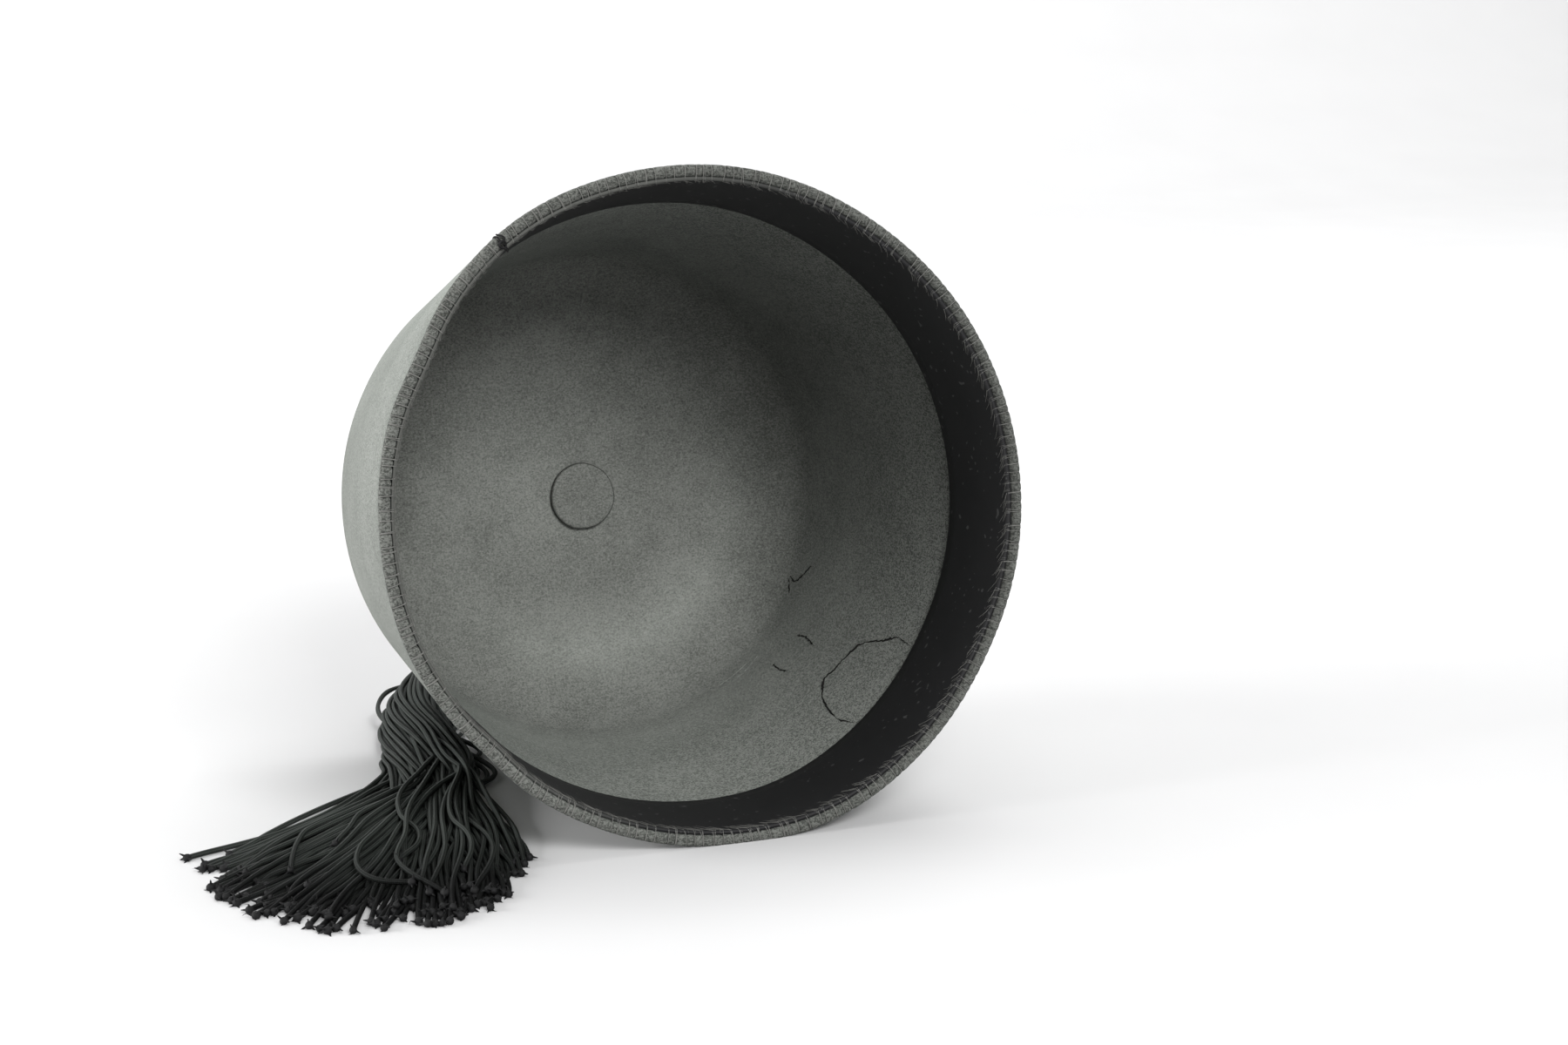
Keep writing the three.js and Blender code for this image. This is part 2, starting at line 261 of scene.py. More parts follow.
# %% The wire class
class Wire:
    def __init__(self, finish, socket):
        self.finish = finish
        self.socket = socket

    def maths(self, operation, first, second):
        return self.finish.node("ShaderNodeMath", {"operation": operation}, [first, second])

    def __add__(self, other):
        return self.maths("ADD", self, other)

    def __radd__(self, other):
        return self.maths("ADD", other, self)

    def __sub__(self, other):
        return self.maths("SUBTRACT", self, other)

    def __rsub__(self, other):
        return self.maths("SUBTRACT", other, self)

    def __mul__(self, other):
        return self.maths("MULTIPLY", self, other)

    def __rmul__(self, other):
        return self.maths("MULTIPLY", other, self)

    def sine(self):
        return self.maths("SINE", self, 0)

    def rising(self, low, high):
        return self.finish.node(
            "ShaderNodeMapRange",
            {"interpolation_type": "SMOOTHSTEP"},
            {"Value": self, "From Min": low, "From Max": high, "To Min": 0, "To Max": 1},
        )


# %% The finish class
class Finish:
    def __init__(self, name):
        self.material = bpy.data.materials.new(name)
        self.material.use_nodes = True
        self.tree = self.material.node_tree
        self.surface = self.tree.nodes["Principled BSDF"]

    def connect(self, value, socket):
        if isinstance(value, Wire):
            self.tree.links.new(value.socket, socket)
        else:
            socket.default_value = value

    def node(self, kind, settings=None, inputs=(), output=0):
        made = self.tree.nodes.new(kind)
        for setting, value in (settings or {}).items():
            setattr(made, setting, value)
        named = inputs.items() if isinstance(inputs, dict) else enumerate(inputs)
        for name, value in named:
            self.connect(value, made.inputs[name])
        return Wire(self, made.outputs[output])

    def place(self):
        return self.node("ShaderNodeTexCoord", output="Object")

    def unwrapped(self):
        split = self.node("ShaderNodeTexCoord", output="UV")
        parts = self.node("ShaderNodeSeparateXYZ", inputs=[split])
        return parts, Wire(self, parts.socket.node.outputs[1])

    def stretched(self, vector, scale, turn):
        return self.node("ShaderNodeMapping", inputs={"Vector": vector, "Scale": scale, "Rotation": turn})

    def noise(self, vector, size, detail=2, roughness=0.5, distortion=0):
        values = {"Vector": vector, "Scale": 1 / size, "Detail": detail, "Roughness": roughness}
        values["Distortion"] = distortion
        return self.node("ShaderNodeTexNoise", {"noise_dimensions": "3D"}, values)

    def blend(self, share, first, second):
        return self.node("ShaderNodeMix", {"data_type": "RGBA"}, {0: share, 6: first, 7: second}, output=2)

    def painted(self, name):
        return self.node("ShaderNodeAttribute", {"attribute_name": name}, output=2)

    def set(self, **values):
        for name, value in values.items():
            self.connect(value, self.surface.inputs[name.replace("_", " ")])

    def bump(self, height, strength, distance):
        normal = self.node(
            "ShaderNodeBump", inputs={"Height": height, "Strength": strength, "Distance": distance}
        )
        self.connect(normal, self.surface.inputs["Normal"])


# %% [markdown]
# ## The felt finish
#
# Hard wool felt is matte, with a grain of short fibres about half a millimetre across, a softer
# cloudiness over a few millimetres, and a pale bloom where light grazes it. The grain drives the colour
# and a fine bump. It stands out more near the opening, so it is made stronger there. The bloom is partly
# the shader's sheen and partly painted light. Each vertex holds how much painted light it gets (on the
# outside, in a ring round the crown's edge, where the felt has also gone pale with wear, on the bottom of
# the wall and in a patch on the crown) and how much painted shade (along the stitched edge, inside the rim
# by the band, on the upper right of the wall and on the disc's cut edge). Painting these by hand would be
# one way, but here both are worked out from the vertex's place in the hat, and the material mixes its
# colours by these two values.

# %% Felt
FELT_DARK = (0.058, 0.061, 0.055, 1)
FELT_PALE = (0.184, 0.190, 0.176, 1)
# paler felt, for painted light and for felt gone pale with wear
WEAR_AND_LIGHT_DARK = (0.154, 0.164, 0.149, 1)
WEAR_AND_LIGHT_PALE = (0.340, 0.356, 0.328, 1)
# darker felt, for painted shade
SHADE_DARK = (0.017, 0.018, 0.016, 1)
SHADE_PALE = (0.062, 0.064, 0.058, 1)
GRAIN_SIZE = 0.65 * MM
FIBRE_SIZE = 1.2 * MM
CLOUD_SIZE = 9 * MM
DRIFT_SIZE = 45 * MM
STRONG_UNTIL = -45 * MM
WEAK_FROM = 35 * MM


def felt_finish(name):
    finish = Finish(name)
    place = finish.place()
    grain = finish.noise(place, GRAIN_SIZE, detail=3, roughness=0.7)
    lying = finish.stretched(place, (1, 1, 3), (0.5, 0.3, 0.8))
    fibres = finish.noise(lying, FIBRE_SIZE, detail=2, distortion=1.5)
    cloud = finish.noise(place, CLOUD_SIZE, detail=3)
    drift = finish.noise(place, DRIFT_SIZE, detail=1)
    along = finish.node("ShaderNodeSeparateXYZ", inputs=[place], output=1)
    near = 1 - along.rising(STRONG_UNTIL, WEAK_FROM)
    coarse = (grain - 0.5) * (near * 2.2 + 1.5) + (fibres - 0.5) * (near * 2.4 + 0.9)
    share = (coarse + (cloud - 0.5) * 0.3 + (drift - 0.5) * 0.45 + 0.5).rising(0, 1)
    fresh = finish.blend(share, FELT_DARK, FELT_PALE)
    rubbed_and_lit = finish.blend(share, WEAR_AND_LIGHT_DARK, WEAR_AND_LIGHT_PALE)
    shaded = finish.blend(share, SHADE_DARK, SHADE_PALE)
    # painted light is mixed in first, then painted shade
    unshaded = finish.blend(finish.painted("wear_and_painted_light"), fresh, rubbed_and_lit)
    finish.set(Base_Color=finish.blend(finish.painted("painted_shade"), unshaded, shaded))
    finish.set(Roughness=0.92, Sheen_Weight=0.08, Sheen_Roughness=0.4, Sheen_Tint=(0.86, 1.0, 0.9, 1))
    finish.set(Specular_IOR_Level=0.2)
    finish.bump(grain * 0.6 + fibres * 0.4, 0.55, 0.35 * MM)
    return finish.material


felt = felt_finish("charcoal_felt")

# %% [markdown]
# ## The band, thread and braid finishes
#
# The sweatband is a smooth black band with a few specks of dust, and grey lint on its near edge, where a
# vertex value says so. The overcasting thread is thin, grey and a little glossy. The braid is black with
# a fine knurl, which follows each strand through its own UV map, and the knurl's grooves are painted
# darker as shade. In the bundle by the head the braid is painted paler as painted light, and in the fan
# it is dark, so the colour also follows the length of the strand.

# %% Band
BAND_DARK = (0.006, 0.006, 0.0066, 1)
BAND_PALE = (0.011, 0.011, 0.0118, 1)
DUST = (0.12, 0.12, 0.12, 1)
LINT = (0.065, 0.067, 0.061, 1)


def band_finish():
    finish = Finish("black_band")
    place = finish.place()
    cloud = finish.noise(place, 14 * MM, detail=2)
    dust = finish.noise(place, 1.6 * MM, detail=0).rising(0.77, 0.8)
    specked = finish.blend(dust * 0.35, finish.blend(cloud, BAND_DARK, BAND_PALE), DUST)
    finish.set(Base_Color=finish.blend(finish.painted("linty"), specked, LINT))
    finish.set(Roughness=0.62, Specular_IOR_Level=0.3)
    finish.bump(finish.noise(place, 0.7 * MM, detail=2), 0.12, 0.1 * MM)
    return finish.material


band_black = band_finish()


# %% Thread
def thread_finish(name, colour, roughness):
    finish = Finish(name)
    cloud = finish.noise(finish.place(), 2.5 * MM, detail=2)
    darker = tuple(part * 0.6 for part in colour[:3]) + (1,)
    finish.set(Base_Color=finish.blend(cloud, darker, colour))
    finish.set(Roughness=roughness, Specular_IOR_Level=0.25)
    return finish.material


grey_thread = thread_finish("grey_thread", (0.19, 0.19, 0.178, 1), 0.5)
grey_lint = thread_finish("grey_lint", (0.13, 0.13, 0.122, 1), 0.7)
black_thread = thread_finish("black_thread", (0.0055, 0.0055, 0.006, 1), 0.7)
# near black: painted shade in the felt's cuts and crack
cut_groove_shade = thread_finish("cut_groove_shade", (0.009, 0.009, 0.008, 1), 0.95)
scuffed_felt = thread_finish("scuffed_felt", (0.24, 0.25, 0.23, 1), 0.95)


# %% Braid
# painted shade in the braid's grooves
GROOVE_SHADE_DARK = (0.0012, 0.0014, 0.0014, 1)
GROOVE_SHADE_PALE = (0.0028, 0.0032, 0.0031, 1)
FAN_DARK = (0.0019, 0.0018, 0.0019, 1)
FAN_PALE = (0.0047, 0.0046, 0.0048, 1)
# painted light: strands in the bundle by the head are painted paler
LIT_BUNDLE_DARK = (0.04, 0.045, 0.041, 1)
LIT_BUNDLE_PALE = (0.068, 0.078, 0.07, 1)
PALE_UNTIL = 165
DARK_FROM = 225


def braid_finish(name, around, along):
    finish = Finish(name)
    across, length = finish.unwrapped()
    left = (across * (around * 2 * math.pi) + length * along).sine()
    right = (across * (around * 2 * math.pi) - length * along).sine()
    knurl = left * right * 0.5 + 0.5
    cloud = finish.noise(finish.place(), 11 * MM, detail=2)
    near_head = 1 - length.rising(PALE_UNTIL, DARK_FROM)
    # the knurl's grooves take the painted shade colour
    groove = finish.blend(cloud, GROOVE_SHADE_DARK, GROOVE_SHADE_PALE)
    fan = finish.blend(cloud, FAN_DARK, FAN_PALE)
    # painted light on the bundle, fading out along each strand into the fan
    bundle = finish.blend(cloud, LIT_BUNDLE_DARK, LIT_BUNDLE_PALE)
    finish.set(Base_Color=finish.blend(knurl, groove, finish.blend(near_head, fan, bundle)))
    finish.set(Roughness=0.58, Specular_IOR_Level=0.08)
    finish.bump(knurl, 0.8, 0.2 * MM)
    return finish.material


strand_braid = braid_finish("strand_braid", 3, 2 * math.pi / 1.1)
cord_braid = braid_finish("cord_braid", 4, 2 * math.pi / 2.4)

# %% [markdown]
# ## The felt body
#
# One shell from the middle of the crown, over the shoulder, down the side, round the stitched edge and
# back up the inside. It is spun fine enough to carry the stitches: each pulls the edge in by a few tenths
# of a millimetre, and the felt pillows between them. No two stitches stand quite alike, because an even
# row would look like a gear.

# %% Where the stitches are
STITCHES = 204
COLUMNS_PER_STITCH = 6
GROOVE_HALF_WIDTH = 0.42 * MM
GROOVE_DEPTH = 0.42 * MM
draw = np.random.default_rng(7)
stitch_jitter = draw.normal(0, 0.17, STITCHES)
stitch_angle = (np.arange(STITCHES) + stitch_jitter) * 2 * math.pi / STITCHES
stitch_pull = draw.uniform(0.55, 1.25, STITCHES)


def stitch_groove(angle):
    half_width = GROOVE_HALF_WIDTH / RIM_RADIUS
    nearest = np.round(np.mod(angle, 2 * math.pi) / (2 * math.pi / STITCHES)).astype(int)
    groove = np.zeros_like(angle)
    for step in (-1, 0, 1):
        k = (nearest + step) % STITCHES
        away = np.mod(angle - stitch_angle[k] + math.pi, 2 * math.pi) - math.pi
        groove = np.maximum(groove, stitch_pull[k] * np.exp(-((away / half_width) ** 2)))
    return groove


# %% The half section of the body
EDGE_ROUND = 1.1 * MM
INNER_EDGE_ROUND = 0.7 * MM


def quarter(centre_radius, centre_depth, radius, start, end, steps):
    turns = np.linspace(math.radians(start), math.radians(end), steps + 1)
    return [(centre_radius + radius * math.cos(t), centre_depth + radius * math.sin(t)) for t in turns]


def body_section():
    shoulder = fillet(RIM_RADIUS, BODY_HEIGHT, SHOULDER_RADIUS, 8)
    crown = [(shoulder[-1][0] * share, BODY_HEIGHT) for share in (0, 0.25, 0.5, 0.72, 0.88)]
    side_depths = np.array([108, 94, 80, 66, 52, 38, 26, 16, 9, 5, 3, 1.9]) * MM
    side = [(cone_radius(depth), depth) for depth in side_depths]
    edge = quarter(RIM_RADIUS - EDGE_ROUND, EDGE_ROUND, EDGE_ROUND, 0, -90, 4)
    inner_start = inner_radius(0) + INNER_EDGE_ROUND
    face = [(RIM_RADIUS - EDGE_ROUND - 0.5 * MM, 0)]
    inner_edge = quarter(inner_start, INNER_EDGE_ROUND, INNER_EDGE_ROUND, 270, 180, 3)
    inner_depths = np.array([1.3, 2.2, 4, 10, 22, 31, 34, 42, 52, 62, 72, 82, 92, 101]) * MM
    inside = [(inner_radius(depth), depth) for depth in inner_depths]
    hollow = fillet(inner_radius(0), BODY_HEIGHT - CROWN_WALL, INNER_FILLET, 9)
    ceiling = [(hollow[-1][0] * share, BODY_HEIGHT - CROWN_WALL) for share in (0.86, 0.7, 0.5, 0.25, 0)]
    return crown + shoulder[::-1] + side + edge + face + inner_edge + inside + hollow + ceiling


# %% Soft waves in the blocked felt
WAVES = 6
WAVE_SIZE = 46 * MM
WAVE_HEIGHT = 0.35 * MM


def soft_waves(points, size, seed):
    phases = np.random.default_rng(seed).uniform(0, 2 * math.pi, (WAVES, 2))[:, 0]
    directions = np.random.default_rng(seed + 1).normal(0, 1, (WAVES, 3))
    directions /= np.linalg.norm(directions, axis=1)[:, None]
    total = np.zeros(len(points))
    for direction, phase in zip(directions, phases):
        total += np.sin(points @ direction * 2 * math.pi / size + phase)
    return total / WAVES


# %% Where light is painted onto the felt, and where it is pale with wear
HIGHLIGHT_RING_RADIUS = 52 * MM
HIGHLIGHT_RING_WIDTH = 11 * MM
LIT_CROWN_REACH = 41 * MM
CEILING_REACH = 60 * MM
FADE_AT_CROWN = 30 * MM
EDGE_FADE = 6 * MM


def felt_wear_and_painted_light(angle, radius, depth, outward):
    # painted sheen: the outside is painted paler where light grazes it, fading out right at the edge
    outside = np.clip(outward * 4 - 1, 0, 1) * 0.32 * np.clip(depth / EDGE_FADE - 0.2, 0, 1)
    ceiling_depth = BODY_HEIGHT - CROWN_WALL
    # a painted highlight in a ring round the crown's edge inside, strongest low on the right; the felt there
    # is also pale with wear
    away = np.hypot(depth - ceiling_depth, radius - HIGHLIGHT_RING_RADIUS) / HIGHLIGHT_RING_WIDTH
    inside = (outward < 0) | (radius < CEILING_REACH)
    lower = 0.5 - 0.5 * np.sin(angle)
    towards_right = 0.5 + 0.5 * np.cos(angle + 0.5)
    ring = np.exp(-away**2) * (0.5 * towards_right * lower**1.5 + 0.27 * lower**4) * inside
    # painted light on the bottom of the wall inside, which faces up into the light, fading towards the crown
    lit_wall_bottom = 0.62 * lower**4 * inside * np.clip((BODY_HEIGHT - depth) / FADE_AT_CROWN, 0, 1)
    # a painted pool of light on the crown, a little left of and above its middle
    across = radius * np.cos(angle) / LIT_CROWN_REACH + 0.45
    up = radius * np.sin(angle) / LIT_CROWN_REACH - 0.3
    on_ceiling = (depth > BODY_HEIGHT * 0.76) & (radius < CEILING_REACH)
    crown = 0.34 * np.exp(-(across**2) - up**2) * on_ceiling
    return np.maximum(outside, ring + lit_wall_bottom + crown)


# %% Where shade is painted onto the felt
SHADED_EDGE = 1.6 * MM
NEAR_RIM = 4 * MM


def felt_painted_shade(angle, depth, outward, groove):
    right = 0.5 + 0.5 * np.cos(angle - 0.3)
    in_groove = np.clip(groove, 0, 1)
    # darker along the stitched edge; the extra on the right, away from the light, and in the stitch grooves
    # is painted shade
    edge = np.clip(1.6 - depth / SHADED_EDGE, 0, 1) * (0.32 + 0.2 * right + 0.4 * in_groove)
    # painted shade in the hollow between the felt and the band, just inside the rim, deeper on the right
    inner_edge = (outward < -0.4) * (depth < NEAR_RIM) * (0.45 + 0.5 * right)
    # painted shade on the upper right of the wall inside, fading out at the crown
    upper_right = np.clip(np.cos(angle - 0.8), 0, 1) ** 1.5 * (outward < 0)
    wall = 0.52 * upper_right * np.clip((BODY_HEIGHT + NEAR_RIM - depth) / FADE_AT_CROWN, 0, 1)
    return np.maximum(np.maximum(edge, inner_edge), wall * (depth > NEAR_RIM))


# %% The body, bent and stitched
def make_felt_body():
    piece = spun("felt_body_blocked", body_section(), STITCHES * COLUMNS_PER_STITCH, closed=False)
    upright = coordinates(piece)
    angle = np.arctan2(upright[:, 1], upright[:, 0])
    radius = np.hypot(upright[:, 0], upright[:, 1])
    depth = upright[:, 2]
    groove = stitch_groove(angle)
    near_edge = np.clip(1 - depth / (4 * MM), 0, 1) ** 1.5
    middle_of_wall = cone_radius(depth) - SIDE_WALL / 2
    outward = np.clip((radius - middle_of_wall) / (SIDE_WALL / 2), -1, 1)
    pillow = (0.16 - 0.5 * groove) * MM * near_edge * np.where(outward > 0, 0.35, 1)
    radius = radius + outward * pillow * (radius > 50 * MM)
    painted_shade_amount = felt_painted_shade(angle, depth, outward, groove)
    depth = depth + (groove * GROOVE_DEPTH - 0.05 * MM) * np.clip(1 - depth / (1.2 * MM), 0, 1)
    inside = (outward < 0) & (depth > 20 * MM)
    waves = soft_waves(upright, WAVE_SIZE, 3) * WAVE_HEIGHT
    radius = radius + inside * waves * np.clip(radius / (40 * MM), 0, 1)
    mark_vertices(piece, "wear_and_painted_light", felt_wear_and_painted_light(angle, radius, depth, outward))
    mark_vertices(piece, "painted_shade", painted_shade_amount)
    move_vertices(piece, hat_points(angle, radius, depth))
    face_outwards(piece)
    finish_piece(piece, felt)
    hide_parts("felt_body")


make_felt_body()

# %% [markdown]
# ## The sweatband
#
# A thin smooth band that stands just inside the felt. It is a closed ring section, spun and bent like the
# felt. Its near edge closes the gap to the felt, and holds most of its lint on the left, away from the
# light.

# %% Sweatband
BAND_WIDTH = 30.5 * MM
BAND_THICKNESS = 0.8 * MM
BAND_SETBACK = 1.0 * MM
PIECE_GAP = 0.3 * MM


def band_section():
    far = BAND_SETBACK + BAND_WIDTH
    depths = np.append(BAND_SETBACK, np.linspace(BAND_SETBACK + 1.2 * MM, far, 8))
    outer = [(inner_radius(depth) - PIECE_GAP, depth) for depth in depths]
    inner = [(radius - BAND_THICKNESS, depth) for radius, depth in reversed(outer)]
    ends = (BAND_SETBACK - 0.25 * MM, far + 0.25 * MM)
    middle = PIECE_GAP + BAND_THICKNESS / 2
    near_tip = (inner_radius(ends[0]) - PIECE_GAP * 0.5, ends[0] - 0.2 * MM)
    far_tip = (inner_radius(ends[1]) - middle, ends[1])
    return [near_tip] + outer + [far_tip] + inner + [near_tip]


def make_sweatband():
    piece = spun("sweatband_sewn", band_section(), STITCHES * 2, closed=True)
    upright = coordinates(piece)
    angle = np.arctan2(upright[:, 1], upright[:, 0])
    radius = np.hypot(upright[:, 0], upright[:, 1])
    depth = upright[:, 2]
    away_from_light = np.clip(0.2 - 1.6 * np.cos(angle + 0.35), 0, 1)
    mark_vertices(piece, "linty", away_from_light * (depth < BAND_SETBACK + 0.5 * MM))
    move_vertices(piece, hat_points(angle, radius, depth))
    face_outwards(piece)
    finish_piece(piece, band_black)
    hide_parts("sweatband")


make_sweatband()

# %% [markdown]
# ## The disc inside the crown
#
# A small disc cut from the same felt covers the place where the cord comes through. It starts as a filled
# circle, is extruded to its thickness and inset a few times, and its cut edge is then rounded off and
# made a little uneven.

# %% Crown disc
DISC_RADIUS = 10.7 * MM
DISC_THICKNESS = 1.6 * MM
DISC_RIGHT = 2.0 * MM
DISC_DOWN = 1.2 * MM
DISC_INSETS = (0.1225 * MM, 0.42 * MM, 1.225 * MM, 2.1 * MM)
DISC_EDGE_DROP = 0.3 * MM


def turned_in(points):
    turn = math.pi / 2 + SLOPE
    y = points[:, 1] * math.cos(turn) + points[:, 2] * math.sin(turn)
    z = -points[:, 1] * math.sin(turn) + points[:, 2] * math.cos(turn)
    return np.stack([points[:, 0], y, z + RIM_CENTRE_HEIGHT], axis=1) + RIM_MIDDLE


def make_crown_disc():
    nothing_selected()
    ceiling = BODY_HEIGHT - CROWN_WALL - PIECE_GAP
    bpy.ops.mesh.primitive_circle_add(
        vertices=96, radius=DISC_RADIUS, fill_type="NGON", location=(DISC_RIGHT, DISC_DOWN, ceiling)
    )
    piece = bpy.context.active_object
    piece.name = "crown_disc_felt"
    bpy.ops.object.transform_apply(location=True)
    bpy.ops.object.mode_set(mode="EDIT")
    bpy.ops.mesh.select_all(action="SELECT")
    bpy.ops.mesh.extrude_region_move(TRANSFORM_OT_translate={"value": (0, 0, -DISC_THICKNESS)})
    for thickness in DISC_INSETS:
        bpy.ops.mesh.inset(thickness=thickness)
    bpy.ops.object.mode_set(mode="OBJECT")
    points = coordinates(piece)
    from_middle = points[:, :2] - np.array([DISC_RIGHT, DISC_DOWN])
    around = np.arctan2(from_middle[:, 1], from_middle[:, 0])
    uneven = 1 + 0.008 * np.sin(3 * around + 0.6) + 0.005 * np.sin(7 * around)
    points[:, :2] = np.array([DISC_RIGHT, DISC_DOWN]) + from_middle * uneven[:, None]
    rim = np.hypot(*from_middle.T) > DISC_RADIUS * 0.985
    low = points[:, 2] < ceiling - DISC_THICKNESS / 2
    points[rim & low, 2] += DISC_EDGE_DROP
    move_vertices(piece, turned_in(points))
    face_outwards(piece)
    mark_vertices(piece, "wear_and_painted_light", np.full(len(points), 0.12))
    # painted shade on the disc's cut edge all round
    mark_vertices(piece, "painted_shade", rim * 0.95)
    finish_piece(piece, felt)
    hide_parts("crown_disc")


make_crown_disc()

# %% [markdown]
# ## Threads, strands and cords as curves
#
# Everything long and thin is a curve with a round bevel, turned into a mesh at the end. One helper takes
# many routes at once. Another gives the mesh tubes a UV map: u runs once round the strand, and v is the
# length in millimetres, so a braid keeps its pitch on every strand. In the mesh, the vertices of the end
# caps come first, from the last tube to the first.

# %% Tubes from routes
def tube_piece(name, routes, radius, resolution, thickness=None):
    line = bpy.data.curves.new(name, "CURVE")
    line.dimensions = "3D"
    line.bevel_depth = radius
    line.bevel_resolution = resolution
    line.use_fill_caps = True
    for k, route in enumerate(routes):
        spline = line.splines.new("POLY")
        spline.points.add(len(route) - 1)
        flat = np.concatenate([route, np.ones((len(route), 1))], axis=1)
        spline.points.foreach_set("co", flat.ravel())
        if thickness is not None:
            spline.points.foreach_set("radius", np.asarray(thickness[k], float))
    nothing_selected()
    piece = bpy.data.objects.new(name, line)
    bpy.context.scene.collection.objects.link(piece)
    only(piece)
    bpy.ops.object.convert(target="MESH")
    return piece


def measured_uv(piece, routes, sides):
    layer = piece.data.uv_layers.active or piece.data.uv_layers.new(name="along")
    tubes = []
    caps = []
    for route in routes:
        travelled = np.concatenate([[0], np.cumsum(np.linalg.norm(np.diff(route, axis=0), axis=1))])
        tubes.append(np.repeat(travelled, sides))
        caps.insert(0, np.repeat([travelled[-1], 0], sides))
    lengths = np.concatenate(caps + tubes)
    assert len(lengths) == len(piece.data.vertices)
    around = np.tile(np.arange(sides) / sides, len(lengths) // sides)
    corners = np.empty(len(piece.data.loops), int)
    piece.data.loops.foreach_get("vertex_index", corners)
    starts = np.empty(len(piece.data.polygons), int)
    totals = np.empty(len(piece.data.polygons), int)
    piece.data.polygons.foreach_get("loop_start", starts)
    piece.data.polygons.foreach_get("loop_total", totals)
    u = around[corners]
    first = np.repeat(u[starts], totals)
    u = np.where(u - first > 0.5, u - 1, np.where(u - first < -0.5, u + 1, u))
    v = lengths[corners] / MM
    layer.data.foreach_set("uv", np.stack([u, v], axis=1).ravel())


# %% Smooth routes
def through(points, count):
    points = np.asarray(points, float)
    padded = np.concatenate([[2 * points[0] - points[1]], points, [2 * points[-1] - points[-2]]])
    steps = np.linspace(0, len(points) - 1, 24 * len(points))
    k = np.minimum(steps.astype(int), len(points) - 2)
    t = (steps - k)[:, None]
    a, b, c, d = padded[k], padded[k + 1], padded[k + 2], padded[k + 3]
    square, cube = 2 * a - 5 * b + 4 * c - d, 3 * b - a - 3 * c + d
    return evenly(0.5 * (2 * b + (c - a) * t + square * t**2 + cube * t**3), count)


def evenly(curve, count):
    gaps = np.linalg.norm(np.diff(curve, axis=0), axis=1)
    travelled = np.concatenate([[0], np.cumsum(gaps)])
    wanted = np.linspace(0, travelled[-1], count)
    return np.stack([np.interp(wanted, travelled, curve[:, axis]) for axis in range(3)], axis=1)


# %% [markdown]
# ## The overcast stitches
#
# The rim is overcast with a thin grey thread. Each stitch comes out of the felt just under the edge,
# crosses the edge, and runs on at a slant over the black band, where it dives in again. About every
# second stitch is doubled, and on the right the thread looks finer.

# %% Stitches
THREAD_RADIUS = 0.15 * MM
THREAD_LIFT = 0.1
FINER_ON_RIGHT = 0.4
DOUBLED_SHARE = 0.5
DOUBLED_ASIDE = 0.7
WALL_ACROSS = SIDE_WALL / math.cos(SLOPE)
BAND_SURFACE = WALL_ACROSS + PIECE_GAP + BAND_THICKNESS


def stitch_route(k, extra):
    pull = (0.42 if extra == 0 else 0.12) * stitch_pull[k]
    slant = draw.uniform(2.6, 6.0) * MM
    reach = draw.uniform(1.8, 5.2) * MM
    lean = draw.normal(-0.25, 0.5) * MM + extra
    wall = WALL_ACROSS / MM
    # a share of the lean along the rim, then millimetres in from the outer face and from the rim's plane
    rows = [
        (0.0, 0.35, 2.3),
        (0.0, -THREAD_LIFT + pull * 0.4, 1.9),
        (0.05, -THREAD_LIFT + pull * 0.8, 1.15),
        (0.1, 0.1 + pull * 0.6, 0.35),
        (0.16, 0.75, -0.05 + pull * 0.6),
        (0.24, wall * 0.5, -0.12 + pull * 0.6),
        (0.32, wall - 0.55, -0.03 + pull * 0.6),
        (0.4, wall + 0.05, 0.4 + pull * 0.4),
        (0.55, wall + 0.75, 0.85),
        (0.8, wall + 1.22, 1.25),
    ]
    points = [(aside * lean, inset * MM, depth * MM) for aside, inset, depth in rows]
    for share in (0.35, 0.7, 1.0):
        above = -0.25 if share == 1.0 else 0.1
        inset = BAND_SURFACE + above * MM
        points.append((lean * 0.8 - slant * share, inset, 1.25 * MM + reach * share**1.3))
    aside, inset, depth = np.array(points).T
    radius = cone_radius(depth) - inset
    return hat_points(stitch_angle[k] + aside / RIM_RADIUS, radius, depth)


def make_stitches():
    routes, widths = [], []
    for k in range(STITCHES):
        doubled = [0.0]
        if draw.uniform() < DOUBLED_SHARE:
            doubled.append(draw.choice([-DOUBLED_ASIDE, DOUBLED_ASIDE]) * MM)
        for extra in doubled:
            routes.append(stitch_route(k, extra))
            thick = draw.uniform(0.95, 1.35) if extra == 0 else 0.8
            towards_right = 0.5 + 0.5 * math.cos(stitch_angle[k] - 0.2)
            fine = 1 - FINER_ON_RIGHT * towards_right
            over_band = [share * fine for share in (0.8, 0.6, 0.55, 0.5)]
            widths.append([thick * fine] * 8 + over_band + [0.35])
    piece = tube_piece("rim_stitches", routes, THREAD_RADIUS, 0, widths)
    finish_piece(piece, grey_thread)


make_stitches()


# %% Fibres along the stitched edge
FIBRE_RADIUS = 0.055 * MM
FIBRES = 460


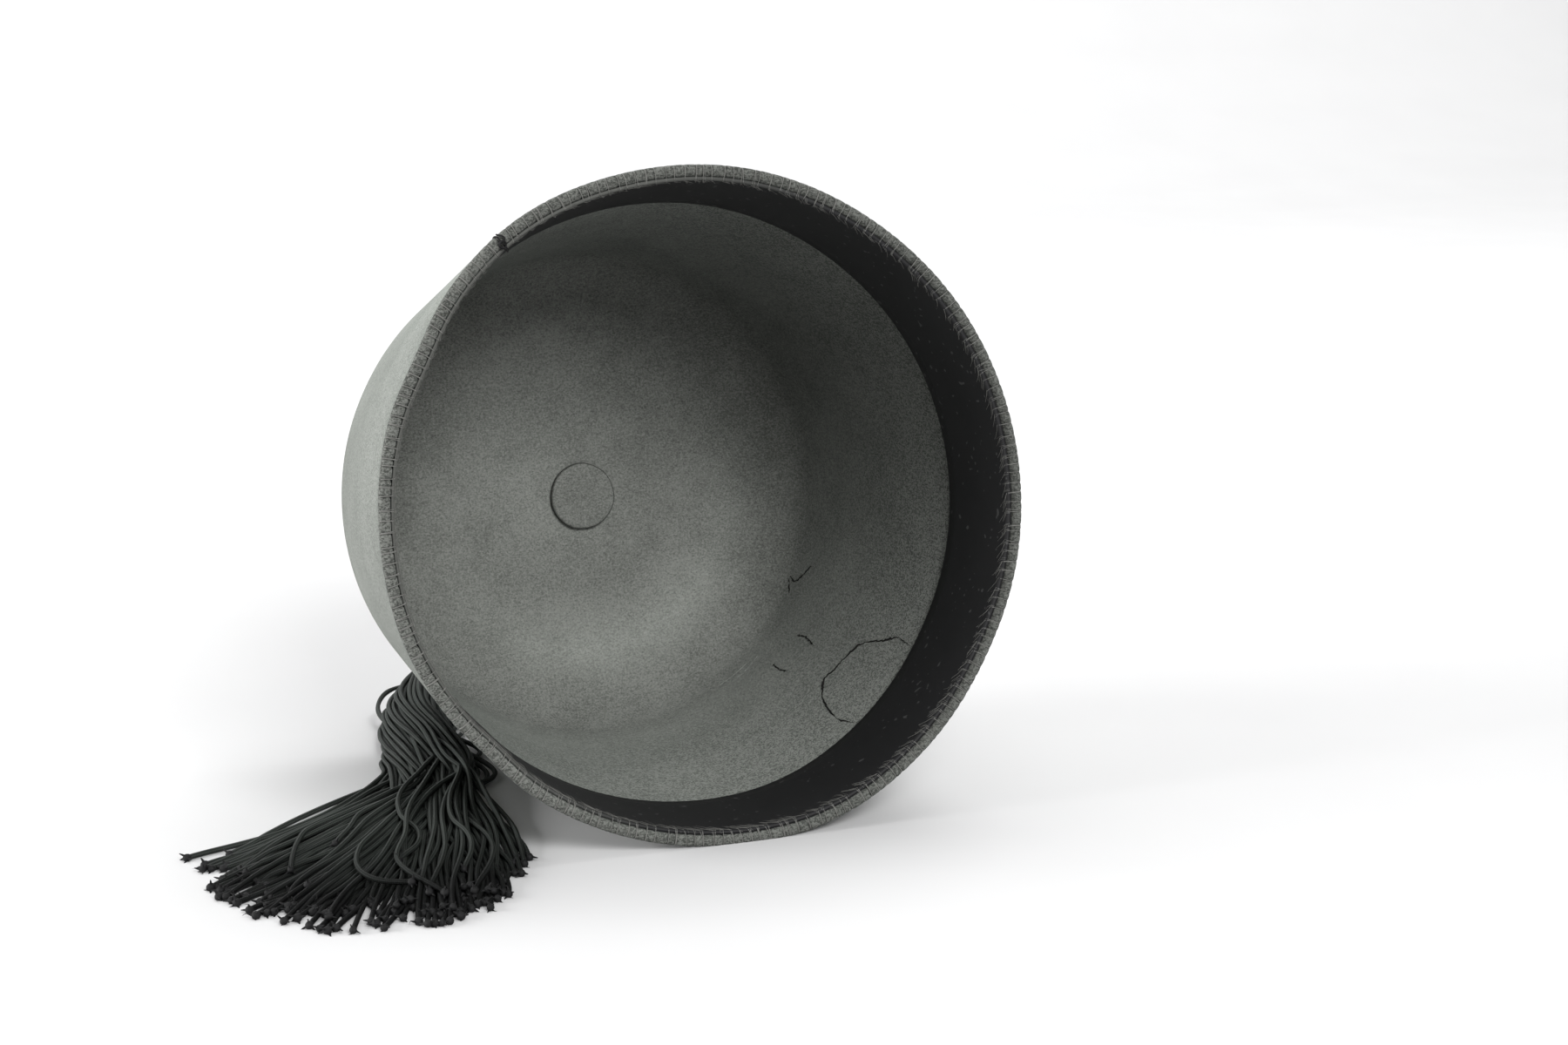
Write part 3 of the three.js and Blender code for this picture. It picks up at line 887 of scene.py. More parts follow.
def fibre_route(fibre):
    k = fibre.integers(STITCHES)
    angle = stitch_angle[k] + fibre.normal(0, 0.3) * MM / RIM_RADIUS
    long = np.clip(0.5 - 0.6 * math.sin(angle + 0.9), 0.25, 1)
    reach = fibre.uniform(0.8, 3.4) * MM * (0.5 + long)
    slant = fibre.normal(-1.9, 1.0) * MM * (0.3 + long)
    share = np.linspace(0, 1, 5)
    depth = 0.6 * MM + reach * share
    above = (0.25 + fibre.uniform(0, 0.5) * np.sin(share * math.pi)) * MM
    over_band = BAND_SURFACE + above
    inset = np.where(share < 0.2, over_band - 0.9 * MM, over_band)
    return hat_points(angle + slant * share / RIM_RADIUS, cone_radius(depth) - inset, depth)


def make_fibres():
    fibre = np.random.default_rng(31)
    routes = [fibre_route(fibre) for _ in range(FIBRES)]
    piece = tube_piece("rim_fibres", routes, FIBRE_RADIUS, 0, [[1, 0.9, 0.8, 0.6, 0.3]] * FIBRES)
    finish_piece(piece, grey_lint)


make_fibres()

# %% [markdown]
# ## The knot on the rim
#
# A stray end of black thread is knotted round the edge at the upper left, and its tail hangs over the
# band.

# %% Knot
KNOT_ANGLE = math.radians(127)
KNOT_THREAD_RADIUS = 0.26 * MM


def on_edge(aside, inset, depth):
    aside, inset, depth = (np.array(part) * MM for part in (aside, inset, depth))
    return hat_points(KNOT_ANGLE + aside / RIM_RADIUS, cone_radius(depth) - inset, depth)


def make_knot():
    wrap = on_edge(
        (0.6, 0.3, 0, -0.2, -0.3, -0.3, -0.6, -0.8, -0.4),
        (0.6, -0.15, -0.2, 0.3, 1.4, 2.6, 3.5, 4.5, 5.2),
        (3.0, 1.8, 0.8, -0.15, -0.35, -0.3, 0.2, 1.0, 1.7),
    )
    loop = on_edge(
        (-0.6, 0.3, 0.9, 0.5, -0.5, -1.1, -0.9, 0.1, 0.8),
        (2.2, 1.8, 2.6, 3.6, 3.8, 3.0, 2.2, 2.0, 2.7),
        (-0.4, -0.7, -0.5, -0.3, -0.4, -0.6, -0.9, -0.95, -0.7),
    )
    tail = on_edge(
        (0.8, 0.4, -0.4, -1.2, -1.6, -2.4),
        (2.7, 3.6, 4.7, 4.95, 5.0, 4.9),
        (-0.6, -0.4, 1.0, 3.2, 5.4, 7.2),
    )
    second_tail = on_edge((-1.0, -1.6, -1.2, -0.6), (2.6, 1.6, 0.6, -0.4), (-0.6, -0.9, -0.8, 0.2))
    routes = [through(route, 40) for route in (wrap, loop, tail, second_tail)]
    piece = tube_piece("rim_knot", routes, KNOT_THREAD_RADIUS, 1)
    finish_piece(piece, black_thread)


make_knot()

# %% [markdown]
# ## Marks inside
#
# The felt inside shows marks of use: a ring-shaped crack by the band, three short cuts above it, and a
# few pale scuffs. Each is a thin uneven tube along the wall. For the crack and the cuts it is dark and
# about half sunk, painted shade in place of their grooves; for a scuff it is finer, paler and sunk deeper.

# %% Marks, as an angle in degrees and a depth in millimetres
CRACK_RING = [
    (-33.7, 34.8), (-32.9, 43.9), (-34.2, 48.8), (-35.2, 55.7), (-36.7, 61), (-38.5, 62.7), (-41, 64.6),
    (-43.7, 65.5), (-46.3, 66.8), (-50.4, 59.9), (-52.4, 51.6), (-53.5, 43.1), (-52.9, 36.6), (-51.6, 32.4),
]
UPPER_CUT = [(-20.9, 105.9), (-26, 113.4), (-25.3, 118.1), (-29.8, 114.1)]
LOWER_CUT = [(-38.8, 97.7), (-38.7, 91.6), (-39.9, 84.7)]
SHORT_CUT = [(-47.5, 98.8), (-48.3, 92.5), (-47.7, 87.8)]
SCUFFS = [
    [(-22.5, 106.4), (-28, 104), (-36.1, 101.1)],
    [(-59.7, 114.5), (-54, 113), (-49, 112.6)],
    [(-57, 110.5), (-52, 109.5), (-46.1, 110.4)],
    [(-59.2, 99.4), (-55, 100.6), (-50, 100.2)],
    [(-53, 104.5), (-47, 106.2), (-40.7, 108.9)],
]
MARKED_RADIUS = inner_radius(70 * MM)


def in_felt(mark, count, unevenness, rise):
    shape = np.array([(math.radians(angle), depth * MM, 0) for angle, depth in mark])
    spread_out = shape * (MARKED_RADIUS, 1, 1)
    line = through(spread_out, count)
    wobble = np.random.default_rng(len(mark) * count)
    line[:, :2] += wobble.normal(0, unevenness, (count, 2))
    angle = line[:, 0] / MARKED_RADIUS
    return hat_points(angle, inner_radius(line[:, 1]) - rise, line[:, 1])


def make_marks(name, marks, radius, unevenness, rise, finish):
    routes, widths = [], []
    for k, mark in enumerate(marks):
        count = 20 + 8 * len(mark)
        routes.append(in_felt(mark, count, unevenness, rise))
        share = np.linspace(0, 1, count)
        thick = np.clip(0.85 + 0.6 * np.sin(13 * share + k) * np.sin(47 * share + 2 * k), 0.4, 1.3)
        widths.append(thick * np.clip(8 * np.minimum(share, 1 - share), 0.25, 1))
    piece = tube_piece(name, routes, radius, 0, widths)
    finish_piece(piece, finish)


CUTS = [CRACK_RING, UPPER_CUT, LOWER_CUT, SHORT_CUT]
# dark tubes along the crack and the cuts: painted shade in their grooves
make_marks("felt_cut_shade", CUTS, radius=0.31 * MM, unevenness=0.14 * MM, rise=0.08 * MM, finish=cut_groove_shade)
make_marks("felt_scuffs", SCUFFS, radius=0.2 * MM, unevenness=0.1 * MM, rise=-0.08 * MM, finish=scuffed_felt)

# %% [markdown]
# ## The cord
#
# The tassel hangs on a braided cord that leaves the middle of the crown, bends down under its own weight
# and lies on the floor by the head. It is free to move, and it follows the route that the measured model
# gives it.

# %% Cord, in millimetres from the floor under the rim
CORD_DIAMETER = 3.6 * MM
CORD_POINTS = 90
CORD_ROUTE = np.array([
    [0, 130.9, 76.1],
    [0, 135.5, 75.4],
    [0.1, 139.9, 73.1],
    [0.4, 143.4, 69.2],
    [0.9, 146, 63.8],
    [1.4, 148, 57],
    [1.8, 149.8, 49],
    [2, 151.6, 41],
    [1.8, 153.7, 33.2],
    [1, 156.2, 26],
    [-0.6, 159, 19.8],
    [-3, 161.4, 15.2],
    [-6.4, 162.9, 12.3],
    [-10, 163.4, 11.1],
    [-13.7, 163.1, 11],
])


def route_length(route):
    return float(np.linalg.norm(np.diff(route, axis=0), axis=1).sum())


cord_route = through(CORD_ROUTE * MM + RIM_MIDDLE, CORD_POINTS)
tassel_cord = tube_piece("cord_braided", [cord_route], CORD_DIAMETER / 2, 4)
measured_uv(tassel_cord, [cord_route], sides=12)
finish_piece(tassel_cord, cord_braid)
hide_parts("tassel_cord")
print("the cord is", round(route_length(cord_route) / MM, 1), "mm long")

# %% [markdown]
# ## The tassel's strands
#
# The tassel is a thick bundle of thin braided strands. It leaves its head behind the crown, turns along
# the hat, and falls apart into a fan: the lower strands lie out to the left, and the upper ones run over
# them towards us. On its way the bundle twists, so that the strands slant across it like those of a rope.
# Each strand starts as a smooth route through the bundle, with a wave of its own. All the strands then
# settle together: they keep their length and their wave, sink under their weight, push at each other and
# rest on the floor and on the side of the hat. Cloth or hair would be another way. A small solver with
# numpy is used here, because it gives the same result each time and every rule of it can be read.

# %% Shape of the bundle and the fan
STRAND_RADIUS = 0.94 * MM
BRAID_RADIUS = 0.8 * MM
STRANDS = 132
POINTS = 104
BUNDLE_WIDTH = 30 * MM
BUNDLE_HEIGHT = 17 * MM
HEAD_RADIUS = 11 * MM
HEAD_LENGTH = 20 * MM
HEAD_PLACE = np.array([-0.246 * RIM_RADIUS, 1.227 * BODY_HEIGHT, HEAD_RADIUS]) + RIM_MIDDLE
HEAD_BEARING = math.radians(186)
HEAD_AXIS = np.array([math.cos(HEAD_BEARING), math.sin(HEAD_BEARING), 0])
HEAD_SIDE = np.array([HEAD_AXIS[1], -HEAD_AXIS[0], 0])
UPWARDS = np.array([0, 0, 1.0])
LEVEL_MARGIN = 0.02

# out is a share of the rim's radius, along of the body's height, wide and high of the bundle's size, and
# twist is in degrees
BUNDLE = [
    {"out": -0.4, "along": 1.19, "wide": 0.66, "high": 1.06, "base": 0.1, "twist": -30},
    {"out": -0.5, "along": 1.07, "wide": 0.84, "high": 1.15, "base": 0, "twist": -5},
    {"out": -0.545, "along": 0.93, "wide": 0.9, "high": 1.2, "base": 0, "twist": 25},
    {"out": -0.575, "along": 0.76, "wide": 0.98, "high": 1.2, "base": 0, "twist": 55},
    {"out": -0.61, "along": 0.58, "wide": 1.08, "high": 1.05, "base": 0, "twist": 85},
]

# side runs from the leftmost lock of the fan to the one by the hat, mid and tip are out and along
LOCKS = [
    {"side": -0.9, "mid": (-1.04, 0.41), "tip": (-1.47, 0.22)},
    {"side": -0.7, "mid": (-1.04, 0.32), "tip": (-1.5, 0.1)},
    {"side": -0.5, "mid": (-1.02, 0.23), "tip": (-1.47, -0.04)},
    {"side": -0.3, "mid": (-0.99, 0.15), "tip": (-1.41, -0.16)},
    {"side": -0.1, "mid": (-0.95, 0.1), "tip": (-1.32, -0.27)},
    {"side": 0, "mid": (-0.89, 0.09), "tip": (-1.2, -0.34)},
    {"side": 0.1, "mid": (-0.83, 0.09), "tip": (-1.08, -0.32)},
    {"side": 0.3, "mid": (-0.78, 0.11), "tip": (-0.96, -0.35)},
    {"side": 0.5, "mid": (-0.72, 0.15), "tip": (-0.85, -0.3)},
    {"side": 0.7, "mid": (-0.66, 0.2), "tip": (-0.74, -0.22)},
    {"side": 0.8, "mid": (-0.61, 0.28), "tip": (-0.66, -0.09)},
    {"side": 0.9, "mid": (-0.56, 0.38), "tip": (-0.62, 0.04)},
]


def on_floor(out, along):
    return np.array([out * RIM_RADIUS, along * BODY_HEIGHT, 0]) + RIM_MIDDLE


def fan_place(which, side):
    sides = [lock["side"] for lock in LOCKS]
    places = np.array([lock[which] for lock in LOCKS])
    out = np.interp(side, sides, places[:, 0])
    along = np.interp(side, sides, places[:, 1])
    return on_floor(out, along)


# %% One route for each strand
bundle_middle = [on_floor(row["out"], row["along"]) for row in BUNDLE]
bundle_line = [HEAD_PLACE * (1, 1, 0)] + bundle_middle + [fan_place("mid", 0.0)]


def bundle_side(k):
    ahead = bundle_line[k + 2] - bundle_line[k]
    return np.array([ahead[1], -ahead[0], 0]) / np.linalg.norm(ahead)


def places_in_bundle():
    layers = 9
    widths = [math.sqrt(1 - (layer / layers) ** 2) for layer in range(layers)]
    counts = np.round(np.array(widths) / sum(widths) * STRANDS).astype(int)
    counts[0] += STRANDS - counts.sum()
    places = []
    for layer, count in enumerate(counts):
        shift = (layer * 0.382) % 1
        for k in range(count):
            across = (k + shift) / (count - 0.001) * 2 - 1
            places.append((across, (layer + 0.5) / layers))
    return places


def beside_the_wall(place, left_edge):
    along = place[1] - RIM_MIDDLE[1]
    if along > BODY_HEIGHT:
        return place
    drop = RIM_CENTRE_HEIGHT - along * math.tan(SLOPE) - place[2]
    reach = cone_radius(along) + 2 * STRAND_RADIUS
    wall = RIM_MIDDLE[0] - math.sqrt(max(0, reach**2 - drop**2))
    free = BUNDLE_WIDTH / 2
    if place[0] > wall - free:
        share = (place[0] - left_edge) / max(free, 2 * (wall - left_edge))
        place = place.copy()
        place[0] = min(place[0], left_edge + (wall - left_edge) * min(1, share * 1.4))
    return place


def twisted(level_across, level, turn):
    up = 2 * level - 1
    aside = level_across * math.sqrt(max(0.05, 1 - up**2))
    aside, up = (
        aside * math.cos(turn) - up * math.sin(turn),
        aside * math.sin(turn) + up * math.cos(turn),
    )
    level = np.clip((up + 1) / 2, LEVEL_MARGIN, 1 - LEVEL_MARGIN)
    level_across = np.clip(aside / math.sqrt(max(0.05, 1 - up**2)), -1, 1)
    return level_across * math.sqrt(1 - level**2), level


# %% The start of a strand in the head, in millimetres
NECK_REACH = 8.3
STARTS_AT = 1
LEAVES_AT = 8


def out_of_head(neck):
    return [HEAD_PLACE + HEAD_AXIS * place * MM + neck for place in (STARTS_AT, LEAVES_AT)]


# %% The whole route of a strand
LOW_LAYERS = 0.42
SIDE_BY_PLACE = 0.72
SIDE_BY_LEVEL = 0.55
REACHES = (0.76, 1.08)
SHORT_REACHES = (0.6, 0.86)
SHORT_SHARE = 0.25
TIP_SPREAD = 0.07


def strand_route(level_across, level, strand):
    side = np.clip(SIDE_BY_PLACE * level_across + SIDE_BY_LEVEL * (level - LOW_LAYERS), -0.95, 0.94)
    on_top = level >= LOW_LAYERS
    in_disc = 2 * level - 1
    disc_across = level_across * math.sqrt(max(0.05, 1 - in_disc**2))
    points = out_of_head(HEAD_SIDE * disc_across * NECK_REACH * MM + UPWARDS * in_disc * NECK_REACH * MM)
    for k, row in enumerate(BUNDLE):
        across, height = twisted(level_across, level, math.radians(row["twist"]))
        half = BUNDLE_WIDTH * row["wide"] / 2
        lift = BUNDLE_HEIGHT * (row["base"] + row["high"] * height)
        place = bundle_middle[k] + bundle_side(k) * across * half + UPWARDS * lift
        points.append(beside_the_wall(place, bundle_middle[k][0] - half))
    reach = strand.uniform(*REACHES)
    if on_top and strand.uniform() < SHORT_SHARE:
        reach = strand.uniform(*SHORT_REACHES)
    middle = fan_place("mid", side)
    tip = fan_place("tip", side + strand.normal(0, TIP_SPREAD))
    waist = points[-1] * (1, 1, 0)
    rise = BUNDLE_HEIGHT * (0.62 * level + 0.12 * on_top)
    points.append(waist * 0.45 + middle * 0.55 + UPWARDS * (STRAND_RADIUS + rise))
    beyond = middle + (tip - middle) * 0.5
    points.append(beyond + UPWARDS * (STRAND_RADIUS + 0.55 * rise))
    points.append(middle + (tip - middle) * reach + UPWARDS * (STRAND_RADIUS + 0.2 * rise))
    return through(points, POINTS)


# %% A wave of its own, as waves in the length and their size in millimetres
SIDE_WAVES = ((1.6, 2.0), (3.1, 1.0))
LIFT_SPREAD = 0.9


def waved(route, strand):
    travelled = np.linspace(0, 1, len(route))
    ahead = np.gradient(route, axis=0)
    ahead /= np.linalg.norm(ahead, axis=1)[:, None]
    sideways = np.cross(ahead, UPWARDS)
    freedom = np.clip((travelled - 0.12) / 0.6, 0, 1)
    wave = np.zeros(len(route))
    for waves, size in SIDE_WAVES:
        wave += strand.normal(0, size) * np.sin(2 * math.pi * (waves * travelled + strand.uniform()))
    lift = strand.normal(0, LIFT_SPREAD) * np.sin(2 * math.pi * (3 * travelled + strand.uniform()))
    moved = route + sideways * (wave * freedom * MM)[:, None] + UPWARDS * (lift * freedom * MM)[:, None]
    return evenly(moved, len(route))


# %% Strands that stray over the others, in millimetres from the floor under the rim
STRAYS = [
    [
        (-36, 161, 9), (-47, 163, 9), (-55, 163, 7), (-61, 152, 5), (-62, 138, 5), (-61, 118, 12),
        (-58, 98, 20), (-56, 80, 24), (-57, 60, 22), (-62, 40, 16), (-66, 22, 12),
    ],
    [
        (-58, 92, 12), (-70, 66, 19), (-82, 46, 20), (-87, 27, 18), (-85, 16, 17), (-88, 4, 15),
        (-96, -6, 13),
    ],
    [
        (-60, 84, 12), (-76, 50, 18), (-91, 27, 18), (-97, 18, 17), (-105, 6, 16), (-109, -9, 14),
        (-106, -20, 12), (-98, -24, 11),
    ],
    [
        (-58, 88, 12), (-72, 56, 19), (-84, 32, 18), (-90, 12, 17), (-97, -4, 14), (-96, -20, 12),
        (-91, -33, 9),
    ],
    [
        (-62, 78, 12), (-82, 56, 17), (-99, 42, 16), (-112, 33, 13), (-118, 22, 12), (-122, 12, 10),
        (-125, 2, 8),
    ],
    [(-60, 84, 12), (-74, 56, 20), (-86, 46, 18), (-95, 38, 17), (-101, 26, 15), (-107, 16, 13)],
    [
        (-56, 86, 12), (-62, 58, 20), (-70, 38, 17), (-74, 20, 14), (-73, 4, 12), (-76, -10, 11),
        (-80, -18, 10),
    ],
]


def stray_route(points, strand):
    points = np.array(points) * MM + RIM_MIDDLE
    if points[0][1] > BODY_HEIGHT + RIM_MIDDLE[1]:
        return through(points, POINTS)
    across = strand.uniform(-0.5, 0.5)
    level = strand.uniform(0.35, 0.7)
    start = out_of_head(HEAD_SIDE * across * 6 * MM + UPWARDS * (level - 0.5) * 8 * MM)
    for k, row in enumerate(BUNDLE[:3]):
        aside = bundle_side(k) * across * BUNDLE_WIDTH * row["wide"] / 2
        lift = BUNDLE_HEIGHT * (row["base"] + row["high"] * level)
        start.append(bundle_middle[k] + aside + UPWARDS * lift)
    return through(np.concatenate([start, points]), POINTS)


# %% [markdown]
# ## Letting the strands settle
#
# The solver moves points, a step at a time. A grid of small boxes finds the points that are near each
# other. Each strand is tied to its own length and sprung to its own bends. Points that press into each
# other are pushed apart, and none may go through the floor or into the hat. It compares points alone and
# stops after a set number of steps, so many strands still overlap by a good part of their thickness. The
# picture hides this, but the strands are not clear of each other.

# %% Pairs of points that are near
SAME_STRAND_SPARED = 4


def near_pairs(points, strand_number, reach):
    cell = np.floor(points / reach).astype(np.int64)
    cell -= cell.min(axis=0) - 1
    rows, columns = cell[:, 1].max() + 2, cell[:, 2].max() + 2
    key = (cell[:, 0] * rows + cell[:, 1]) * columns + cell[:, 2]
    order = np.argsort(key, kind="stable")
    in_order = key[order]
    found = []
    for dx, dy, dz in np.ndindex(3, 3, 3):
        wanted = key + ((dx - 1) * rows + dy - 1) * columns + dz - 1
        start = np.searchsorted(in_order, wanted, "left")
        count = np.searchsorted(in_order, wanted, "right") - start
        first = np.repeat(np.arange(len(points)), count)
        within = np.arange(count.sum()) - np.repeat(np.cumsum(count) - count, count)
        second = order[np.repeat(start, count) + within]
        found.append(np.stack([first, second])[:, first < second])
    first, second = np.concatenate(found, axis=1)
    close = np.linalg.norm(points[first] - points[second], axis=1) < reach
    apart = (strand_number[first] != strand_number[second]) | (np.abs(first - second) > SAME_STRAND_SPARED)
    keep = close & apart
    return first[keep], second[keep]


# %% Rules that each step keeps
def off_the_hat(points, clearance):
    x, y, z = (points - RIM_MIDDLE).T
    height = z - RIM_CENTRE_HEIGHT
    depth = y * math.cos(SLOPE) - height * math.sin(SLOPE)
    up = y * math.sin(SLOPE) + height * math.cos(SLOPE)
    angle = np.arctan2(up, x)
    radius = np.hypot(up, x)
    fade = np.clip(1 - depth / BODY_HEIGHT, 0, 1)
    wall = cone_radius(depth) * (1 + out_of_round(angle) * fade) + clearance
    beside = (depth > -clearance) & (depth < BODY_HEIGHT + clearance)
    push = np.where(beside & (radius < wall), wall - radius, 0)
    points[:, 0] += push * np.cos(angle)
    lifted = push * np.sin(angle)
    points[:, 1] += lifted * math.sin(SLOPE)
    points[:, 2] += lifted * math.cos(SLOPE)


def tied(x, gap):
    for parity in (0, 1):
        ahead = x[:, parity + 1::2]
        behind = x[:, parity:-1:2][:, :ahead.shape[1]]
        along = ahead - behind
        length = np.linalg.norm(along, axis=2, keepdims=True)
        fix = along * ((1 - gap[:, parity::2] / length) / 2)
        ahead -= fix
        behind += fix


def sprung(x, curls):
    for reach, curl, stiffness in curls:
        wanted = (x[:, :-2 * reach] + x[:, 2 * reach:]) / 2 + curl
        x[:, reach:-reach] += stiffness * (wanted - x[:, reach:-reach])


# %% All the steps
HELD_POINTS = 7
LOOSENING_POINTS = 12
HAT_CLEARANCE = 0.3 * MM
BEND_SPRINGS = ((1, 0.35), (3, 0.3), (6, 0.2))
UPWARD_CURL = 0.3
PULL_HOME = 0.03
SINK = 0.1
LAST_SINK = 0.03
LAST_PART = 0.7
NEAR_REACH = 1.35
DEEP_PRESS = 0.4 * MM


def settle(routes, steps):
    x = np.array(routes)
    start = x.copy()
    gap = np.linalg.norm(np.diff(x, axis=1), axis=2, keepdims=True)
    curls = []
    for reach, stiffness in BEND_SPRINGS:
        curl = x[:, reach:-reach] - (x[:, :-2 * reach] + x[:, 2 * reach:]) / 2
        curl[:, :, 2] *= UPWARD_CURL
        curls.append((reach, curl, stiffness))
    number = np.repeat(np.arange(len(x)), x.shape[1])
    total = number.size
    distance = 2 * STRAND_RADIUS
    loose = np.clip((np.arange(x.shape[1]) - HELD_POINTS) / LOOSENING_POINTS, 0.25, 1)
    share = np.linspace(0, 1, x.shape[1])
    home = (PULL_HOME * np.clip(1.15 - 1.6 * share, 0.03, 1))[None, :, None]
    for step in range(steps):
        sink = SINK if step < steps * LAST_PART else LAST_SINK
        x[:, HELD_POINTS:, 2] -= sink * MM
        x[:, :, :2] += home * (start - x)[:, :, :2]
        tied(x, gap)
        sprung(x, curls)
        tied(x, gap)
        flat = x.reshape(-1, 3)
        if step % 3 == 0:
            first, second = near_pairs(flat, number, NEAR_REACH * distance)
        between = flat[second] - flat[first]
        length = np.linalg.norm(between, axis=1) + 1e-9
        size = distance * loose[first % x.shape[1]]
        press = np.clip(size - length, 0, None) / length * 0.5
        push = between * press[:, None]
        touched = press > 0
        hits = np.bincount(first[touched], minlength=total) + np.bincount(second[touched], minlength=total)
        ease = 1 / np.sqrt(np.maximum(hits, 1))
        for axis in range(3):
            move = np.bincount(second, push[:, axis], total) - np.bincount(first, push[:, axis], total)
            flat[:, axis] += move * ease
        off_the_hat(flat, STRAND_RADIUS + HAT_CLEARANCE)
        flat[:, 2] = np.maximum(flat[:, 2], STRAND_RADIUS)
        x = flat.reshape(x.shape)
        x[:, :HELD_POINTS] = start[:, :HELD_POINTS]
    overlap = size - np.linalg.norm(flat[second] - flat[first], axis=1)
    deep = int((overlap > DEEP_PRESS).sum())
    print("settled;", len(first), "near pairs,", deep, "deeper than", DEEP_PRESS / MM, "mm")
    for _ in range(5):
        x[:, 1:-1] = (x[:, :-2] + 2 * x[:, 1:-1] + x[:, 2:]) / 4
    return x


# %% Settle the tassel
SETTLING_STEPS = 200

strand = np.random.default_rng(11)
strand_routes = [waved(strand_route(*place, strand), strand) for place in places_in_bundle()]
strand_routes += [stray_route(route, strand) for route in STRAYS]
strand_paths = settle(strand_routes, SETTLING_STEPS)
print("the tassel has", len(strand_paths), "strands")

# %% Strands as tubes, thinner where the neck squeezes them
squeeze = np.clip((np.arange(POINTS) - 3) / 9, 0.62, 1)
tassel = tube_piece("tassel_strands", strand_paths, BRAID_RADIUS, 1, [squeeze] * len(strand_paths))
measured_uv(tassel, strand_paths, sides=6)
finish_piece(tassel, strand_braid)
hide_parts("tassel")

# %% [markdown]
# ## The frayed ends
#
# Each strand was cut and its braid has burst into a hard little knot with a few prongs. Three such ends
# are modelled from a small ball, whose faces are drawn out into prongs, and a copy is set on every
# strand.

# %% Three patterns for an end
END_RADIUS = 1.12 * MM
END_PRONGS = [
    [(1, 0.1, 0.5), (-0.7, 0.8, 0.4), (-0.3, -1, 0.6), (0.2, 0.3, 1)],
    [(0.9, 0.6, 0.2), (-1, 0.1, 0.3), (0.1, -1, 0.9)],
    [(0.8, -0.7, 0.4), (-0.5, -0.6, 0.9), (-0.4, 1, 0.1), (0.7, 0.7, 0.8), (-1, 0.2, -0.1)],
]


def end_pattern(prongs):
    nothing_selected()
    bpy.ops.mesh.primitive_ico_sphere_add(subdivisions=2, radius=END_RADIUS, location=(0, 0, 0))
    ball = bpy.context.active_object
    for prong in prongs:
        aim = Vector(prong).normalized()
        bpy.ops.object.mode_set(mode="EDIT")
        bpy.ops.mesh.select_mode(type="FACE")
        bpy.ops.mesh.select_all(action="DESELECT")
        bpy.ops.object.mode_set(mode="OBJECT")
        outermost = max(ball.data.polygons, key=lambda face: face.center.dot(aim) * (face.area > 1e-9))
        outermost.select = True
        middle = outermost.center.copy()
        bpy.ops.object.mode_set(mode="EDIT")
        for length, size in ((0.5, 0.85), (0.75, 0.45)):
            step = aim * length * MM
            middle += step
            bpy.ops.mesh.extrude_region_move(TRANSFORM_OT_translate={"value": tuple(step)})
            bpy.ops.transform.resize(value=(size, size, size), center_override=tuple(middle))
        bpy.ops.object.mode_set(mode="OBJECT")
    points = coordinates(ball)
    points[:, 2] *= 1.15
    faces = [tuple(face.vertices) for face in ball.data.polygons]
    bpy.data.objects.remove(ball)
    return points, faces


# %% One end on every strand
def make_strand_ends():
    patterns = [end_pattern(prongs) for prongs in END_PRONGS]
    turns = np.random.default_rng(23)
    points, faces = [], []
    for path in strand_paths:
        pattern_points, pattern_faces = patterns[turns.integers(len(patterns))]
        ahead = path[-1] - path[-4]
        ahead /= np.linalg.norm(ahead)
        side = np.cross(ahead, turns.normal(0, 1, 3))
        side /= np.linalg.norm(side)
        axes = np.stack([side, np.cross(ahead, side), ahead])
        placed = pattern_points * turns.uniform(0.85, 1.15) @ axes + path[-1]
        placed[:, 2] = np.maximum(placed[:, 2], 0.02 * MM)
        faces += [tuple(len(points) + v for v in face) for face in pattern_faces]
        points += placed.tolist()
    mesh = bpy.data.meshes.new("strand_ends")
    mesh.from_pydata(points, [], faces)
    piece = bpy.data.objects.new("strand_ends", mesh)
    bpy.context.scene.collection.objects.link(piece)
    finish_piece(piece, black_thread)


make_strand_ends()

# %% [markdown]
# ## The tassel's head
#
# The strands are folded over the end of the cord and bound round the neck, which leaves a small dome
# ribbed by the strands. A turned core fills it, arcs of strand run from the cord down to the neck, and a
# thread is wound round the neck over them.

# %% Profile of the head
BINDING_DEPTH = 1.4 * MM
HEAD_ARCS = 36
ARC_POINTS = 30
BINDING_TURNS = 5
BINDING_RADIUS = 0.5 * MM
ARCS_START_RADIUS = 1.5 * MM


def head_outline(inset, steps):
    dome = np.linspace(0, math.pi / 2, steps)
    half = HEAD_LENGTH / 2
    radii = list((HEAD_RADIUS - inset) * np.sin(dome))
    places = list(-(half - inset) * np.cos(dome))
    neck = HEAD_RADIUS - BINDING_DEPTH - inset
    radii += [neck, neck, HEAD_RADIUS - inset]
    places += [half * 0.25, half * 0.7, half]
    return radii, places


def head_points(radius, place, turn):
    ring = HEAD_SIDE * np.cos(turn)[:, None] + UPWARDS * np.sin(turn)[:, None]
    return HEAD_PLACE + HEAD_AXIS * np.asarray(place)[:, None] + ring * np.asarray(radius)[:, None]


def make_head_core():
    radii, places = head_outline(STRAND_RADIUS * 1.1, 9)
    profile = list(zip(radii, places)) + [(0, places[-1])]
    piece = spun("head_core", profile, 48, closed=False)
    upright = coordinates(piece)
    turn = np.arctan2(upright[:, 1], upright[:, 0])
    radius = np.hypot(upright[:, 0], upright[:, 1])
    move_vertices(piece, head_points(radius, upright[:, 2], turn))
    face_outwards(piece)
    finish_piece(piece, black_thread)
    return piece


